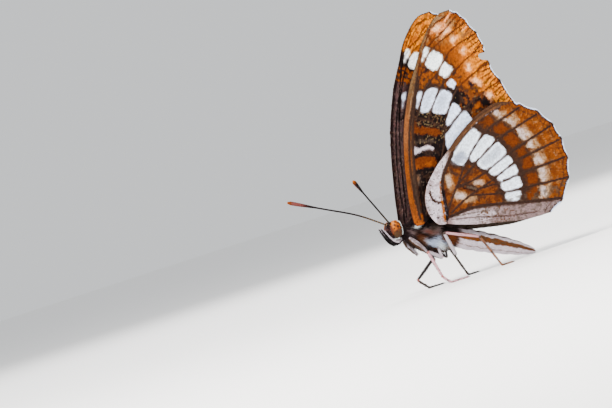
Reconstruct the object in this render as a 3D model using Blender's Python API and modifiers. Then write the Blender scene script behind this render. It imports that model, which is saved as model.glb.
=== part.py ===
"""Lorquin's admiral butterfly, life size, standing with its wings closed over its back.

Lengths are in millimetres until they reach the mesh. The head points along -X, the left
side is -Y and +Z is up. The origin is under the middle of the whole animal, on the floor.
"""

from math import cos, exp, hypot, pi, radians, sin, sqrt

import bmesh
import bpy
from mathutils import Vector
from mathutils.geometry import delaunay_2d_cdt

MM = 0.001
COLLECTION = "lorquins_admiral"

# Where the body's own drawing lies over the origin
MIDDLE_X = 5.91
FLOOR_DROP = 9.8
GAP = 0.3

# Body sections, front to back: x, middle height, half height, half width
THORAX_SECTIONS = (
    (-3.05, -0.50, 0.80, 0.82),
    (-2.20, -0.95, 1.40, 1.30),
    (-1.00, -1.50, 2.10, 1.75),
    (0.50, -2.00, 2.65, 1.98),
    (2.00, -2.50, 2.70, 2.00),
    (3.30, -2.92, 2.42, 1.86),
    (4.20, -3.20, 1.95, 1.62),
    (4.75, -3.38, 1.55, 1.42),
)
THORAX_RINGS = 15
THORAX_SIDES = 22

HEAD_CENTRE = (-4.25, 0.0, 0.0)
HEAD_HALF = (1.05, 0.95, 1.30)
EYE_CENTRE = (-4.42, 0.92, 0.05)
EYE_HALF = (0.85, 0.74, 1.25)
NECK_X = THORAX_SECTIONS[0][0] - GAP

ABDOMEN_START = (4.20, -3.28)
WAIST_X = THORAX_SECTIONS[-1][0] + GAP
ABDOMEN_END = (17.55, -9.46)
ABDOMEN_SEGMENTS = 7
SEGMENT_STEPS = 4
ABDOMEN_RADIUS = 1.52
ABDOMEN_NARROW = 0.92
ABDOMEN_SWELL = 0.16
ABDOMEN_WIDEST = 0.30
ABDOMEN_TIP_RADIUS = 0.52
ABDOMEN_TAPER = (2.4, 0.75)
ABDOMEN_SIDES = 20
SEGMENT_GROOVE = 0.10

# Wings, drawn flat as x along the body and z up
WING_THICKNESS = 0.50
VEIN_RAISE = 0.14
VEIN_HALF_WIDTH = 0.32
VEIN_STEP = 1.15
VEIN_TIP_REACH = 1.6
OUTER_STEP = 0.62
COSTA_STEP = 2.0
INNER_STEP = 2.4
MEMBRANE_STEP = 3.0
WING_OPENING = 0.036
FOREWING_Y = 1.95
HINDWING_Y = 3.05
FOREWING_SCALLOP = 0.18
HINDWING_SCALLOP = 0.26
WING_HOLLOW = 0.40
WING_HOLLOW_TOP = 24.0
ROOT_REACH = 1.3

# Room kept between the flat points of a wing: on one vein, beside a vein, and in a field
SAME_POINT = 0.30
VEIN_CLEAR = 0.30
FOOT_ROOM = 0.24
FIELD_ROOM = 0.85

FOREWING_ROOT = (-0.70, -0.25)
FOREWING_COSTA = (
    (-1.45, 0.10), (-1.20, 4.60), (-0.20, 9.10), (1.35, 13.70), (3.95, 18.65), (6.25, 21.80),
    (8.15, 24.50), (10.20, 26.45), (12.00, 27.60), (14.15, 27.80),
)
FOREWING_OUTER = (
    (14.15, 27.80), (15.70, 26.65), (16.65, 25.05), (17.80, 22.70), (18.10, 20.70),
    (18.30, 18.30), (19.35, 15.50), (20.20, 13.30), (20.80, 11.35),
)
FOREWING_HIND = (
    (20.80, 11.35), (18.50, 9.60), (13.00, 6.40), (7.00, 3.05), (2.60, 0.95), (0.55, -0.05),
)
# The right forewing is held a little further up and back than the left one
RIGHT_RAISE_X = 0.6
RIGHT_RAISE_Z = 0.8
RIGHT_RAISE_REACH = 8.0
TORN_NOTCH = ((18.12, 20.45), (17.00, 20.45), (16.80, 20.00), (17.05, 19.55), (18.22, 19.10))
TORN_ROOM = 0.3
FOREWING_VEINS = {
    "subcosta": ((-0.90, 1.40), (-0.55, 4.60), (0.45, 8.60), (2.10, 13.20), (4.20, 17.30)),
    "radius": (
        (-0.60, 1.40), (0.20, 4.60), (1.45, 9.60), (3.35, 15.00), (5.88, 20.30),
        (8.00, 23.60), (10.50, 26.20), (13.20, 27.10),
    ),
    "radius_5": ((7.40, 22.70), (9.50, 24.00), (11.80, 25.00), (14.60, 26.50)),
    "media_1": ((3.00, 13.90), (5.00, 18.00), (7.20, 21.10), (9.70, 23.25), (15.80, 25.35)),
    "media_2": ((3.70, 14.20), (6.45, 17.80), (9.30, 19.80), (12.50, 22.20), (17.20, 23.40)),
    "media_3": ((5.60, 13.70), (8.70, 17.10), (12.30, 19.25), (17.30, 21.40)),
    "cubitus": ((0.20, 0.60), (2.90, 3.70), (5.25, 6.85), (6.85, 9.40), (7.70, 11.30)),
    "cubitus_1": ((7.75, 11.50), (8.60, 13.10), (11.35, 16.25), (14.50, 17.75), (17.80, 18.80)),
    "cubitus_2": ((7.50, 10.80), (10.25, 12.60), (12.65, 13.75), (16.50, 15.20), (19.00, 15.75)),
    "anal": ((0.80, 0.55), (7.00, 4.00), (13.50, 7.75), (19.80, 11.50)),
    "cell_end": ((3.20, 14.30), (5.55, 13.50), (7.60, 11.60)),
}

HINDWING_ROOT = (3.70, -1.35)
HINDWING_COSTAL = (
    (2.90, -1.50), (1.55, -1.30), (0.62, 0.00), (0.36, 1.40), (0.66, 3.00), (1.72, 4.65),
    (4.20, 6.80), (7.30, 8.80), (9.60, 10.25), (12.80, 11.85), (15.20, 12.65), (17.30, 12.90),
    (19.90, 12.25),
)
HINDWING_OUTER = (
    (19.90, 12.25), (22.00, 11.05), (23.60, 9.80), (25.25, 7.50), (26.00, 4.60),
    (25.75, 1.20), (24.45, -1.70), (22.60, -3.70), (20.20, -4.70),
)
HINDWING_INNER = (
    (20.20, -4.70), (16.40, -4.55), (11.50, -3.75), (7.40, -2.90), (4.90, -2.20), (3.70, -1.75),
)
HINDWING_VEINS = {
    "humeral": ((3.55, 1.50), (2.40, 1.75), (1.75, 2.40), (1.60, 3.50)),
    "subcosta_radius": (
        (3.40, -0.40), (3.60, 1.60), (3.95, 3.70), (5.00, 5.65), (8.80, 9.00), (13.70, 11.35),
        (17.50, 12.20),
    ),
    "radial_sector": (
        (3.75, 0.40), (5.80, 2.70), (6.80, 3.70), (8.70, 5.70), (11.80, 8.20), (15.00, 9.80),
        (20.50, 11.25),
    ),
    "media_1": ((6.40, 3.30), (8.90, 4.65), (12.50, 6.45), (16.30, 8.00), (23.00, 9.50)),
    "media_2": ((6.30, 3.10), (9.20, 3.25), (12.10, 3.95), (16.50, 5.35), (24.75, 7.30)),
    "cubitus": (
        (4.10, -0.20), (6.80, 0.95), (9.50, 1.70), (12.80, 2.55), (17.50, 3.95), (25.45, 5.00),
    ),
    "cubitus_1": ((10.00, 1.80), (13.50, 1.75), (18.00, 2.05), (25.40, 2.30)),
    "cubitus_2": ((8.00, 1.30), (13.00, 0.25), (18.00, -0.15), (24.70, -0.60)),
    "anal_2": ((4.10, -0.60), (7.70, -0.40), (12.00, -1.05), (17.00, -2.10), (22.30, -3.05)),
    "anal_3": ((4.30, -1.20), (8.50, -2.10), (13.00, -3.20), (18.00, -3.95)),
}

# Limbs, as centre lines x, y, z for the left side, with y away from the middle
ANTENNA_PATH = (
    (-4.95, 0.42, 1.55), (-7.60, 2.90, 3.60), (-10.70, 6.20, 5.95), (-14.05, 9.85, 8.45),
)
ANTENNA_STEP = 1.0
ANTENNA_RADIUS = 0.25
CLUB_RADIUS = 0.33
CLUB_START = 0.78
CLUB_FULL = 0.93
CLUB_END = 0.97
CLUB_TIP = 0.62
PALP_PATH = (
    (-3.95, 0.42, -1.62), (-4.75, 0.42, -1.92), (-5.50, 0.38, -1.20), (-6.05, 0.34, -0.05),
    (-6.50, 0.31, 0.90),
)
PALP_RADII = (0.26, 0.36, 0.33, 0.27, 0.14)
FORELEG_PATH = (
    (-2.72, 0.80, -1.80), (-2.30, 1.15, -2.65), (-1.60, 1.35, -3.70), (-0.92, 1.35, -4.70),
)
FORELEG_RADII = (0.30, 0.38, 0.33, 0.20)
LIMB_STEP = 0.55

LEG_RADIUS = 0.27
COXA_SWELL = 1.25
TROCHANTER_SWELL = 1.10
COXA_DROP = 0.06
TARSUS_RADIUS = 0.25
LEGS = {
    "midleg_left": {
        "side": -1,
        "coxa": (1.25, 0.95, -4.70),
        "trochanter": (1.25, 1.30, -6.10),
        "knee": (-1.85, 3.00, -4.50),
        "ankle": (-1.45, 4.20, -8.55),
        "heel": (-0.50, 4.45, -9.58),
        "toe": (2.30, 4.85, -9.63),
    },
    "midleg_right": {
        "side": 1,
        "coxa": (1.25, 0.95, -4.70),
        "trochanter": (1.25, 1.30, -6.10),
        "knee": (3.20, 4.45, -5.80),
        "ankle": (0.15, 5.45, -8.10),
        "heel": (1.75, 5.60, -9.58),
        "toe": (4.40, 5.75, -9.63),
    },
    "hindleg_left": {
        "side": -1,
        "coxa": (3.55, 0.90, -5.00),
        "trochanter": (3.60, 1.30, -6.30),
        "knee": (1.35, 3.60, -2.60),
        "ankle": (6.30, 4.60, -4.75),
        "heel": (8.30, 4.85, -9.58),
        "toe": (10.20, 5.00, -9.63),
    },
    "hindleg_right": {
        "side": 1,
        "coxa": (3.55, 0.90, -5.00),
        "trochanter": (3.60, 1.30, -6.30),
        "knee": (1.35, 3.60, -2.60),
        "ankle": (6.30, 4.60, -4.75),
        "heel": (8.30, 4.85, -9.58),
        "toe": (10.20, 5.00, -9.63),
    },
}
TUBE_OVERRUN = 1.2

MATERIALS = {
    "body_fur": ((0.055, 0.040, 0.036), 0.80),
    "abdomen_scales": ((0.190, 0.110, 0.075), 0.75),
    "eye": ((0.850, 0.330, 0.030), 0.25),
    "antenna": ((0.060, 0.038, 0.040), 0.55),
    "palp": ((0.780, 0.720, 0.700), 0.75),
    "forewing_scales": ((0.560, 0.200, 0.040), 0.70),
    "hindwing_scales": ((0.520, 0.230, 0.100), 0.70),
    "leg": ((0.620, 0.330, 0.290), 0.60),
    "foreleg": ((0.520, 0.460, 0.520), 0.75),
}


def placed(x, y, z):
    """A point of the drawing as a point of the model, in metres."""
    return Vector((x - MIDDLE_X, y, z + FLOOR_DROP)) * MM


def clear_scene():
    for ob in list(bpy.data.objects):
        bpy.data.objects.remove(ob, do_unlink=True)


def model_collection():
    collection = bpy.data.collections.get(COLLECTION)
    if collection is None:
        collection = bpy.data.collections.new(COLLECTION)
        bpy.context.scene.collection.children.link(collection)
    return collection


def material(name):
    found = bpy.data.materials.get(name)
    if found:
        return found
    colour, roughness = MATERIALS[name]
    made = bpy.data.materials.new(name)
    made.use_nodes = True
    shader = made.node_tree.nodes["Principled BSDF"]
    shader.inputs["Base Color"].default_value = (*colour, 1.0)
    shader.inputs["Roughness"].default_value = roughness
    shader.inputs["Metallic"].default_value = 0.0
    return made


def add_node(name, mesh, slot, origin=None):
    """One object for a mesh drawn in model coordinates, with its origin moved to a point of it."""
    ob = bpy.data.objects.new(name, mesh)
    if origin is not None:
        for vertex in mesh.vertices:
            vertex.co -= origin
        ob.location = origin
    mesh.materials.clear()
    mesh.materials.append(material(slot))
    mesh.shade_smooth()
    mesh.set_sharp_from_angle(angle=radians(40))
    model_collection().objects.link(ob)
    return ob


def evaluated_mesh(ob):
    """The mesh an object shows, after its modifiers, with the object then removed."""
    graph = bpy.context.evaluated_depsgraph_get()
    mesh = bpy.data.meshes.new_from_object(ob.evaluated_get(graph), depsgraph=graph)
    mesh.transform(ob.matrix_world)
    bpy.data.objects.remove(ob, do_unlink=True)
    return mesh


def cut_flat(mesh, point, normal):
    """Takes away what lies on the normal's side of a plane and closes the cut."""
    bm = bmesh.new()
    bm.from_mesh(mesh)
    bmesh.ops.remove_doubles(bm, verts=bm.verts, dist=1e-6)
    geometry = bm.verts[:] + bm.edges[:] + bm.faces[:]
    cut = bmesh.ops.bisect_plane(
        bm, geom=geometry, dist=1e-7, plane_co=point, plane_no=normal, clear_outer=True
    )
    rim = [e for e in cut["geom_cut"] if isinstance(e, bmesh.types.BMEdge)]
    if rim:
        bmesh.ops.contextual_create(bm, geom=rim)
    bmesh.ops.recalc_face_normals(bm, faces=bm.faces)
    bm.to_mesh(mesh)
    bm.free()


def smooth_line(points, step):
    """Points about a step apart on a smooth curve through the given ones."""
    points = [Vector(p) for p in points]
    ends = [2 * points[0] - points[1]] + points + [2 * points[-1] - points[-2]]
    line = []
    for i in range(1, len(ends) - 2):
        a, b, c, d = ends[i - 1 : i + 3]
        count = max(1, round((c - b).length / step))
        for k in range(count):
            t = k / count
            line.append(
                0.5
                * (
                    2 * b
                    + (c - a) * t
                    + (2 * a - 5 * b + 4 * c - d) * t * t
                    + (3 * b - a - 3 * c + d) * t ** 3
                )
            )
    line.append(points[-1])
    return line


def tube(points, radii):
    """A closed round tube along model points, with a radius in millimetres at each."""
    curve = bpy.data.curves.new("tube", "CURVE")
    curve.dimensions = "3D"
    curve.bevel_depth = MM
    curve.bevel_resolution = 2
    curve.use_fill_caps = True
    spline = curve.splines.new("POLY")
    spline.points.add(len(points) - 1)
    for target, point, radius in zip(spline.points, points, radii):
        target.co = (*point, 1.0)
        target.radius = radius
    ob = bpy.data.objects.new("tube", curve)
    bpy.context.scene.collection.objects.link(ob)
    mesh = evaluated_mesh(ob)
    bpy.data.curves.remove(curve)
    bm = bmesh.new()
    bm.from_mesh(mesh)
    bmesh.ops.remove_doubles(bm, verts=bm.verts, dist=1e-6)
    bmesh.ops.recalc_face_normals(bm, faces=bm.faces)
    bm.to_mesh(mesh)
    bm.free()
    return mesh


def ellipsoid(centre, half, sides, rings):
    """A sphere stretched to three half sizes, as a mesh in model coordinates."""
    bm = bmesh.new()
    bmesh.ops.create_uvsphere(bm, u_segments=sides, v_segments=rings, radius=1.0)
    for vertex in bm.verts:
        x, y, z = vertex.co
        vertex.co = placed(
            centre[0] + x * half[0], centre[1] + y * half[1], centre[2] + z * half[2]
        )
    mesh = bpy.data.meshes.new("ellipsoid")
    bm.to_mesh(mesh)
    bm.free()
    return mesh


def section_at(x):
    """The thorax's middle height, half height and half width at x."""
    sections = THORAX_SECTIONS
    x = min(max(x, sections[0][0]), sections[-1][0])
    for k, (low, high) in enumerate(zip(sections, sections[1:])):
        if x <= high[0]:
            before = sections[max(k - 1, 0)]
            after = sections[min(k + 2, len(sections) - 1)]
            break
    t = (x - low[0]) / (high[0] - low[0])
    found = []
    for n in (1, 2, 3):
        a, b, c, d = before[n], low[n], high[n], after[n]
        curve = 2 * b + (c - a) * t + (2 * a - 5 * b + 4 * c - d) * t * t
        found.append(0.5 * (curve + (3 * b - a - 3 * c + d) * t ** 3))
    return found


def thorax_half_width(x, z):
    """How far the thorax's side stands from the middle at a place on it."""
    middle, half_height, half_width = section_at(x)
    rise = min(abs(z - middle) / half_height, 1.0)
    return half_width * sqrt(1 - rise * rise)


def thorax_underside(x, y):
    middle, half_height, half_width = section_at(x)
    return middle - half_height * sqrt(1 - min(abs(y) / half_width, 1.0) ** 2)


def make_thorax():
    """Sections joined from the neck to the waist, flat at both ends."""
    start, end = THORAX_SECTIONS[0][0], THORAX_SECTIONS[-1][0]
    bm = bmesh.new()
    rings = []
    for i in range(THORAX_RINGS):
        x = start + (end - start) * i / (THORAX_RINGS - 1)
        middle, half_height, half_width = section_at(x)
        ring = []
        for k in range(THORAX_SIDES):
            angle = 2 * pi * k / THORAX_SIDES
            point = placed(x, half_width * sin(angle), middle + half_height * cos(angle))
            ring.append(bm.verts.new(point))
        rings.append(ring)
    for near, far in zip(rings, rings[1:]):
        for k in range(THORAX_SIDES):
            n = (k + 1) % THORAX_SIDES
            bm.faces.new((near[k], near[n], far[n], far[k]))
    bm.faces.new(rings[0])
    bm.faces.new(rings[-1])
    bmesh.ops.recalc_face_normals(bm, faces=bm.faces)
    mesh = bpy.data.meshes.new("thorax")
    bm.to_mesh(mesh)
    bm.free()
    return add_node("thorax", mesh, "body_fur", placed(0.9, 0.0, -2.2))


def make_head():
    """The head with a hollow for each eye, flat where it meets the neck."""
    head = bpy.data.objects.new("head", ellipsoid(HEAD_CENTRE, HEAD_HALF, 20, 14))
    bpy.context.scene.collection.objects.link(head)
    cutters = []
    for side in (-1, 1):
        centre = (EYE_CENTRE[0], side * EYE_CENTRE[1], EYE_CENTRE[2])
        roomy = [h + GAP for h in EYE_HALF]
        cutter = bpy.data.objects.new("eye_room", ellipsoid(centre, roomy, 20, 14))
        cutter.hide_render = True
        cutter.display_type = "WIRE"
        bpy.context.scene.collection.objects.link(cutter)
        cut = head.modifiers.new("eye_room", "BOOLEAN")
        cut.operation = "DIFFERENCE"
        cut.solver = "EXACT"
        cut.object = cutter
        cutters.append(cutter)
    mesh = evaluated_mesh(head)
    for cutter in cutters:
        bpy.data.objects.remove(cutter, do_unlink=True)
    cut_flat(mesh, placed(NECK_X, 0, 0), Vector((1, 0, 0)))
    return add_node("head", mesh, "body_fur", placed(*HEAD_CENTRE))


def make_eye(name, side):
    centre = (EYE_CENTRE[0], side * EYE_CENTRE[1], EYE_CENTRE[2])
    return add_node(name, ellipsoid(centre, EYE_HALF, 16, 12), "eye", placed(*centre))


def make_abdomen():
    """A turned body of seven rings of flesh, sloping down until its tip rests on the floor."""
    run = Vector((ABDOMEN_END[0] - ABDOMEN_START[0], 0, ABDOMEN_END[1] - ABDOMEN_START[1]))
    length = run.length
    profile = [(0.0, 0.0)]
    steps = ABDOMEN_SEGMENTS * SEGMENT_STEPS
    for i in range(steps + 1):
        t = i / steps
        bulge = sin(pi * min(t / (2 * ABDOMEN_WIDEST), 1.0))
        swell = ABDOMEN_RADIUS * (ABDOMEN_NARROW + ABDOMEN_SWELL * bulge)
        taper = (1 - t ** ABDOMEN_TAPER[0]) ** ABDOMEN_TAPER[1]
        radius = ABDOMEN_TIP_RADIUS + (swell - ABDOMEN_TIP_RADIUS) * taper
        if i % SEGMENT_STEPS == 0 and 0 < t < 1:
            radius -= SEGMENT_GROOVE
        profile.append((radius, -length * t))
    profile.append((0.0, -length))
    mesh = bpy.data.meshes.new("abdomen")
    points = [(r * MM, 0.0, z * MM) for r, z in profile]
    mesh.from_pydata(points, [(k, k + 1) for k in range(len(points) - 1)], [])
    turned = bpy.data.objects.new("abdomen", mesh)
    bpy.context.scene.collection.objects.link(turned)
    screw = turned.modifiers.new("turn", "SCREW")
    screw.steps = ABDOMEN_SIDES
    screw.render_steps = ABDOMEN_SIDES
    screw.use_merge_vertices = True
    screw.merge_threshold = 1e-6
    turned.rotation_euler = Vector((0, 0, -1)).rotation_difference(run).to_euler()
    turned.location = placed(ABDOMEN_START[0], 0, ABDOMEN_START[1])
    bpy.context.view_layer.update()
    solid = evaluated_mesh(turned)
    cut_flat(solid, Vector((0, 0, 0)), Vector((0, 0, -1)))
    cut_flat(solid, placed(WAIST_X, 0, 0), Vector((-1, 0, 0)))
    return add_node("abdomen", solid, "abdomen_scales", placed(WAIST_X, 0, ABDOMEN_START[1]))


def inside(point, outline):
    """Whether a flat point lies within an outline."""
    x, z = point
    found = False
    for (x1, z1), (x2, z2) in zip(outline, outline[1:] + outline[:1]):
        if (z1 > z) != (z2 > z) and x < (x2 - x1) * (z - z1) / (z2 - z1) + x1:
            found = not found
    return found


def distance_to(point, line):
    """The least distance from a flat point to a line of points."""
    best = 1e9
    for (x1, z1), (x2, z2) in zip(line, line[1:]):
        dx, dz = x2 - x1, z2 - z1
        t = ((point[0] - x1) * dx + (point[1] - z1) * dz) / (dx * dx + dz * dz)
        t = min(max(t, 0.0), 1.0)
        best = min(best, hypot(point[0] - x1 - t * dx, point[1] - z1 - t * dz))
    return best


def flat_line(points, step):
    return [(p.x, p.y) for p in smooth_line([(x, z, 0.0) for x, z in points], step)]


def wing_side(x, z, plane, root):
    """How far a wing stands from the middle, leaning out, hollow half way up, bent at the root."""
    away = plane + WING_OPENING * z
    if 0 < z < WING_HOLLOW_TOP:
        away -= WING_HOLLOW * sin(pi * z / WING_HOLLOW_TOP)
    at_root = thorax_half_width(*root) + GAP + WING_THICKNESS / 2
    bend = at_root - (plane + WING_OPENING * root[1])
    reach = hypot(x - root[0], z - root[1]) / ROOT_REACH
    return away + bend * exp(-reach * reach)


def near_point(point, points, space):
    """The number of a point that lies closer than a space to the given one, or none."""
    for k, (x, z) in enumerate(points):
        if hypot(point[0] - x, point[1] - z) < space:
            return k
    return None


def vein_feet(line):
    """Flat points on both sides of a vein, where its ridge meets the skin."""
    feet = []
    for before, after in zip(line, line[1:]):
        length = hypot(after[0] - before[0], after[1] - before[1])
        along = ((after[0] - before[0]) / length, (after[1] - before[1]) / length)
        for side in (-VEIN_HALF_WIDTH, VEIN_HALF_WIDTH):
            feet.append((before[0] - side * along[1], before[1] + side * along[0]))
    return feet


def field_points(outline):
    """Flat points in rows over the whole wing, every second row moved by half a step."""
    low_x, high_x = min(x for x, _ in outline), max(x for x, _ in outline)
    low_z, high_z = min(z for _, z in outline), max(z for _, z in outline)
    rows = int((high_z - low_z) / MEMBRANE_STEP) + 1
    columns = int((high_x - low_x) / MEMBRANE_STEP) + 1
    return [
        (low_x + (k + 0.5 * (i % 2)) * MEMBRANE_STEP, low_z + i * MEMBRANE_STEP)
        for i in range(rows)
        for k in range(columns)
    ]


def wing_points(outline, veins):
    """Flat points for a wing's skin: its margin, its veins with a foot on each side, its fields."""
    rim = outline + outline[:1]
    lines = [flat_line(v, VEIN_STEP) for v in veins.values()]
    points = list(outline)
    edges = [(k, (k + 1) % len(outline)) for k in range(len(outline))]
    for line in lines:
        last = None
        for point in line:
            if not inside(point, outline) or distance_to(point, rim) < VEIN_HALF_WIDTH:
                last = None
                continue
            here = near_point(point, points, SAME_POINT)
            if here is None:
                points.append(point)
                here = len(points) - 1
            if last is not None and here != last:
                edges.append((last, here))
            last = here

    def add_free(found, rim_room, room):
        for point in found:
            if not inside(point, outline) or distance_to(point, rim) < rim_room:
                continue
            if near_point(point, points, room) is None:
                points.append(point)

    for line in lines:
        feet = [f for f in vein_feet(line) if all(distance_to(f, o) > VEIN_CLEAR for o in lines)]
        add_free(feet, FOOT_ROOM, FOOT_ROOM)
    add_free(field_points(outline), FIELD_ROOM, FIELD_ROOM)
    return points, edges, lines


def make_wing(name, side, outline, veins, plane, root, slot):
    """One wing: a skin over its flat points, given thickness, thicker along the veins."""
    points, edges, lines = wing_points(outline, veins)
    border = list(range(len(outline)))
    flat = [Vector(p) for p in points]
    verts, _, faces, _, _, _ = delaunay_2d_cdt(flat, edges, [border], 1, 1e-4)
    shaped = [placed(v.x, side * wing_side(v.x, v.y, plane, root), v.y) for v in verts]
    mesh = bpy.data.meshes.new(name)
    mesh.from_pydata(shaped, [], faces)
    bm = bmesh.new()
    bm.from_mesh(mesh)
    loose = [v for v in bm.verts if not v.link_faces]
    bmesh.ops.delete(bm, geom=loose, context="VERTS")
    bmesh.ops.recalc_face_normals(bm, faces=bm.faces)
    bm.to_mesh(mesh)
    bm.free()
    wing = bpy.data.objects.new(name, mesh)
    bpy.context.scene.collection.objects.link(wing)
    veined = wing.vertex_groups.new(name="vein")
    for vertex in mesh.vertices:
        x, z = vertex.co.x / MM + MIDDLE_X, vertex.co.z / MM - FLOOR_DROP
        near = min((distance_to((x, z), line) for line in lines), default=1e9)
        veined.add([vertex.index], 1.0 if near < VEIN_HALF_WIDTH / 2 else 0.0, "REPLACE")
    full = WING_THICKNESS + 2 * VEIN_RAISE
    shell = wing.modifiers.new("thickness", "SOLIDIFY")
    shell.thickness = full * MM
    shell.offset = 0.0
    shell.use_even_offset = False
    shell.vertex_group = "vein"
    shell.thickness_vertex_group = WING_THICKNESS / full
    solid = evaluated_mesh(wing)
    away = side * wing_side(*root, plane, root)
    return add_node(name, solid, slot, placed(root[0], away, root[1]))


def scalloped(margin, veins, depth):
    """The outer margin drawn in a little between the ends of the veins that reach it."""
    tips = [v[-1] for v in veins.values() if distance_to(v[-1], margin) < VEIN_TIP_REACH]
    marks = [0, len(margin) - 1]
    for x, z in tips:
        marks.append(min(range(len(margin)), key=lambda k: hypot(margin[k][0] - x, margin[k][1] - z)))
    marks = sorted(set(marks))
    drawn = list(margin)
    for start, end in zip(marks, marks[1:]):
        for k in range(start + 1, end):
            along = Vector(margin[k + 1]) - Vector(margin[k - 1])
            inward = Vector((along.y, -along.x)).normalized()
            bite = depth * sin(pi * (k - start) / (end - start))
            drawn[k] = tuple(Vector(margin[k]) + inward * bite)
    return drawn


def held(points, side):
    """Points of a forewing where the wing of that side holds them."""
    if side < 0:
        return list(points)
    moved = []
    for x, z in points:
        share = 1 - exp(-max(z, 0.0) / RIGHT_RAISE_REACH)
        moved.append((x + share * RIGHT_RAISE_X, z + share * RIGHT_RAISE_Z))
    return moved


def forewing_outline(side, veins):
    """The forewing's edge from its root round the tip and back, with the left one's torn notch."""
    costa = flat_line(held(FOREWING_COSTA, side), COSTA_STEP)
    outer = scalloped(flat_line(held(FOREWING_OUTER, side), OUTER_STEP), veins, FOREWING_SCALLOP)
    hind = flat_line(held(FOREWING_HIND, side), INNER_STEP)
    if side < 0:
        above = [p for p in outer if p[1] > TORN_NOTCH[0][1] + TORN_ROOM]
        below = [p for p in outer if p[1] < TORN_NOTCH[-1][1] - TORN_ROOM]
        outer = above + list(TORN_NOTCH) + below
    return [FOREWING_ROOT] + costa[:-1] + outer[:-1] + hind


def hindwing_outline():
    costal = flat_line(HINDWING_COSTAL, COSTA_STEP)
    outer = scalloped(flat_line(HINDWING_OUTER, OUTER_STEP), HINDWING_VEINS, HINDWING_SCALLOP)
    inner = flat_line(HINDWING_INNER, INNER_STEP)
    return costal[:-1] + outer[:-1] + inner


def side_point(point, side):
    return placed(point[0], side * point[1], point[2])


def make_antenna(name, side):
    """A thin shaft that swells into a club at its end."""
    line = smooth_line([side_point(p, side) for p in ANTENNA_PATH], ANTENNA_STEP * MM)
    radii = []
    for k in range(len(line)):
        t = k / (len(line) - 1)
        club = min(max((t - CLUB_START) / (CLUB_FULL - CLUB_START), 0.0), 1.0)
        end = 1.0 if t < CLUB_END else CLUB_TIP
        radii.append((ANTENNA_RADIUS + (CLUB_RADIUS - ANTENNA_RADIUS) * club) * end)
    return add_node(name, tube(line, radii), "antenna", line[0])


def make_limb(name, side, path, radii, slot):
    """A short limb that swells and tapers, such as a palp or a folded foreleg."""
    line = smooth_line([side_point(p, side) for p in path], LIMB_STEP * MM)
    widths = []
    for k in range(len(line)):
        t = k / (len(line) - 1) * (len(radii) - 1)
        n = min(int(t), len(radii) - 2)
        widths.append(radii[n] + (radii[n + 1] - radii[n]) * (t - n))
    return add_node(name, tube(line, widths), slot, line[0])


def mitre(before, joint, after):
    """The normal of the plane that halves the bend at a joint, pointing onwards."""
    arriving = (joint - before).normalized()
    leaving = (after - joint).normalized()
    return (arriving + leaving).normalized()


def stretched(points, start, end):
    """A leg piece's points with its ends run on past the joints that will cut them."""
    points = [p.copy() for p in points]
    if start:
        points[0] += (points[0] - points[1]).normalized() * TUBE_OVERRUN * MM
    if end:
        points[-1] += (points[-1] - points[-2]).normalized() * TUBE_OVERRUN * MM
    return points


def make_leg(name, leg):
    """Coxa and femur, tibia, and tarsus, cut face to face at the knee and the ankle."""
    side = leg["side"]
    coxa, trochanter, knee, ankle, heel, toe = (
        side_point(leg[k], side) for k in ("coxa", "trochanter", "knee", "ankle", "heel", "toe")
    )
    slack = GAP / 2 * MM
    at_knee = mitre(trochanter, knee, ankle)
    at_ankle = mitre(knee, ankle, heel)

    start = coxa.copy()
    start.z = placed(0, 0, thorax_underside(leg["coxa"][0], leg["coxa"][1]) - GAP - COXA_DROP).z
    upper = stretched([start, trochanter, knee], False, True)
    femur = tube(upper, [LEG_RADIUS * COXA_SWELL, LEG_RADIUS * TROCHANTER_SWELL, LEG_RADIUS])
    cut_flat(femur, knee - at_knee * slack, at_knee)
    add_node(name + "_femur", femur, "leg", start)

    shin = tube(stretched([knee, ankle], True, True), [LEG_RADIUS, LEG_RADIUS])
    cut_flat(shin, knee + at_knee * slack, -at_knee)
    cut_flat(shin, ankle - at_ankle * slack, at_ankle)
    add_node(name + "_tibia", shin, "leg", knee)

    sole = stretched([ankle, heel, toe], True, False)
    foot = tube(sole, [LEG_RADIUS, TARSUS_RADIUS, TARSUS_RADIUS])
    cut_flat(foot, ankle + at_ankle * slack, -at_ankle)
    cut_flat(foot, Vector((0, 0, 0)), Vector((0, 0, -1)))
    add_node(name + "_tarsus", foot, "leg", ankle)


def make_all():
    clear_scene()
    make_thorax()
    make_head()
    make_abdomen()
    for side, word in ((-1, "left"), (1, "right")):
        make_eye("eye_" + word, side)
        make_antenna("antenna_" + word, side)
        make_limb("palp_" + word, side, PALP_PATH, PALP_RADII, "palp")
        make_limb("foreleg_" + word, side, FORELEG_PATH, FORELEG_RADII, "foreleg")
        veins = {vein: held(line, side) for vein, line in FOREWING_VEINS.items()}
        make_wing(
            "forewing_" + word, side, forewing_outline(side, veins), veins,
            FOREWING_Y, FOREWING_ROOT, "forewing_scales",
        )
        make_wing(
            "hindwing_" + word, side, hindwing_outline(), HINDWING_VEINS,
            HINDWING_Y, HINDWING_ROOT, "hindwing_scales",
        )
    for name, leg in LEGS.items():
        make_leg(name, leg)


make_all()
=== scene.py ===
"""Lorquin's admiral, dressed: scaled wings, a furred body, jointed legs and a pale studio.

Sizes inside the sub-assemblies are millimetres in the part's own drawing: x runs back from the
head, y out from the middle plane and z up. The function placed turns them into the frame's metres.
"""

import logging
import math
from collections.abc import Callable, Iterable, Mapping, Sequence
from dataclasses import dataclass, field, replace
from enum import Enum
from functools import reduce
from itertools import product

import bpy
import numpy as np
from mathutils import Matrix, Vector
from mathutils.geometry import delaunay_2d_cdt


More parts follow.
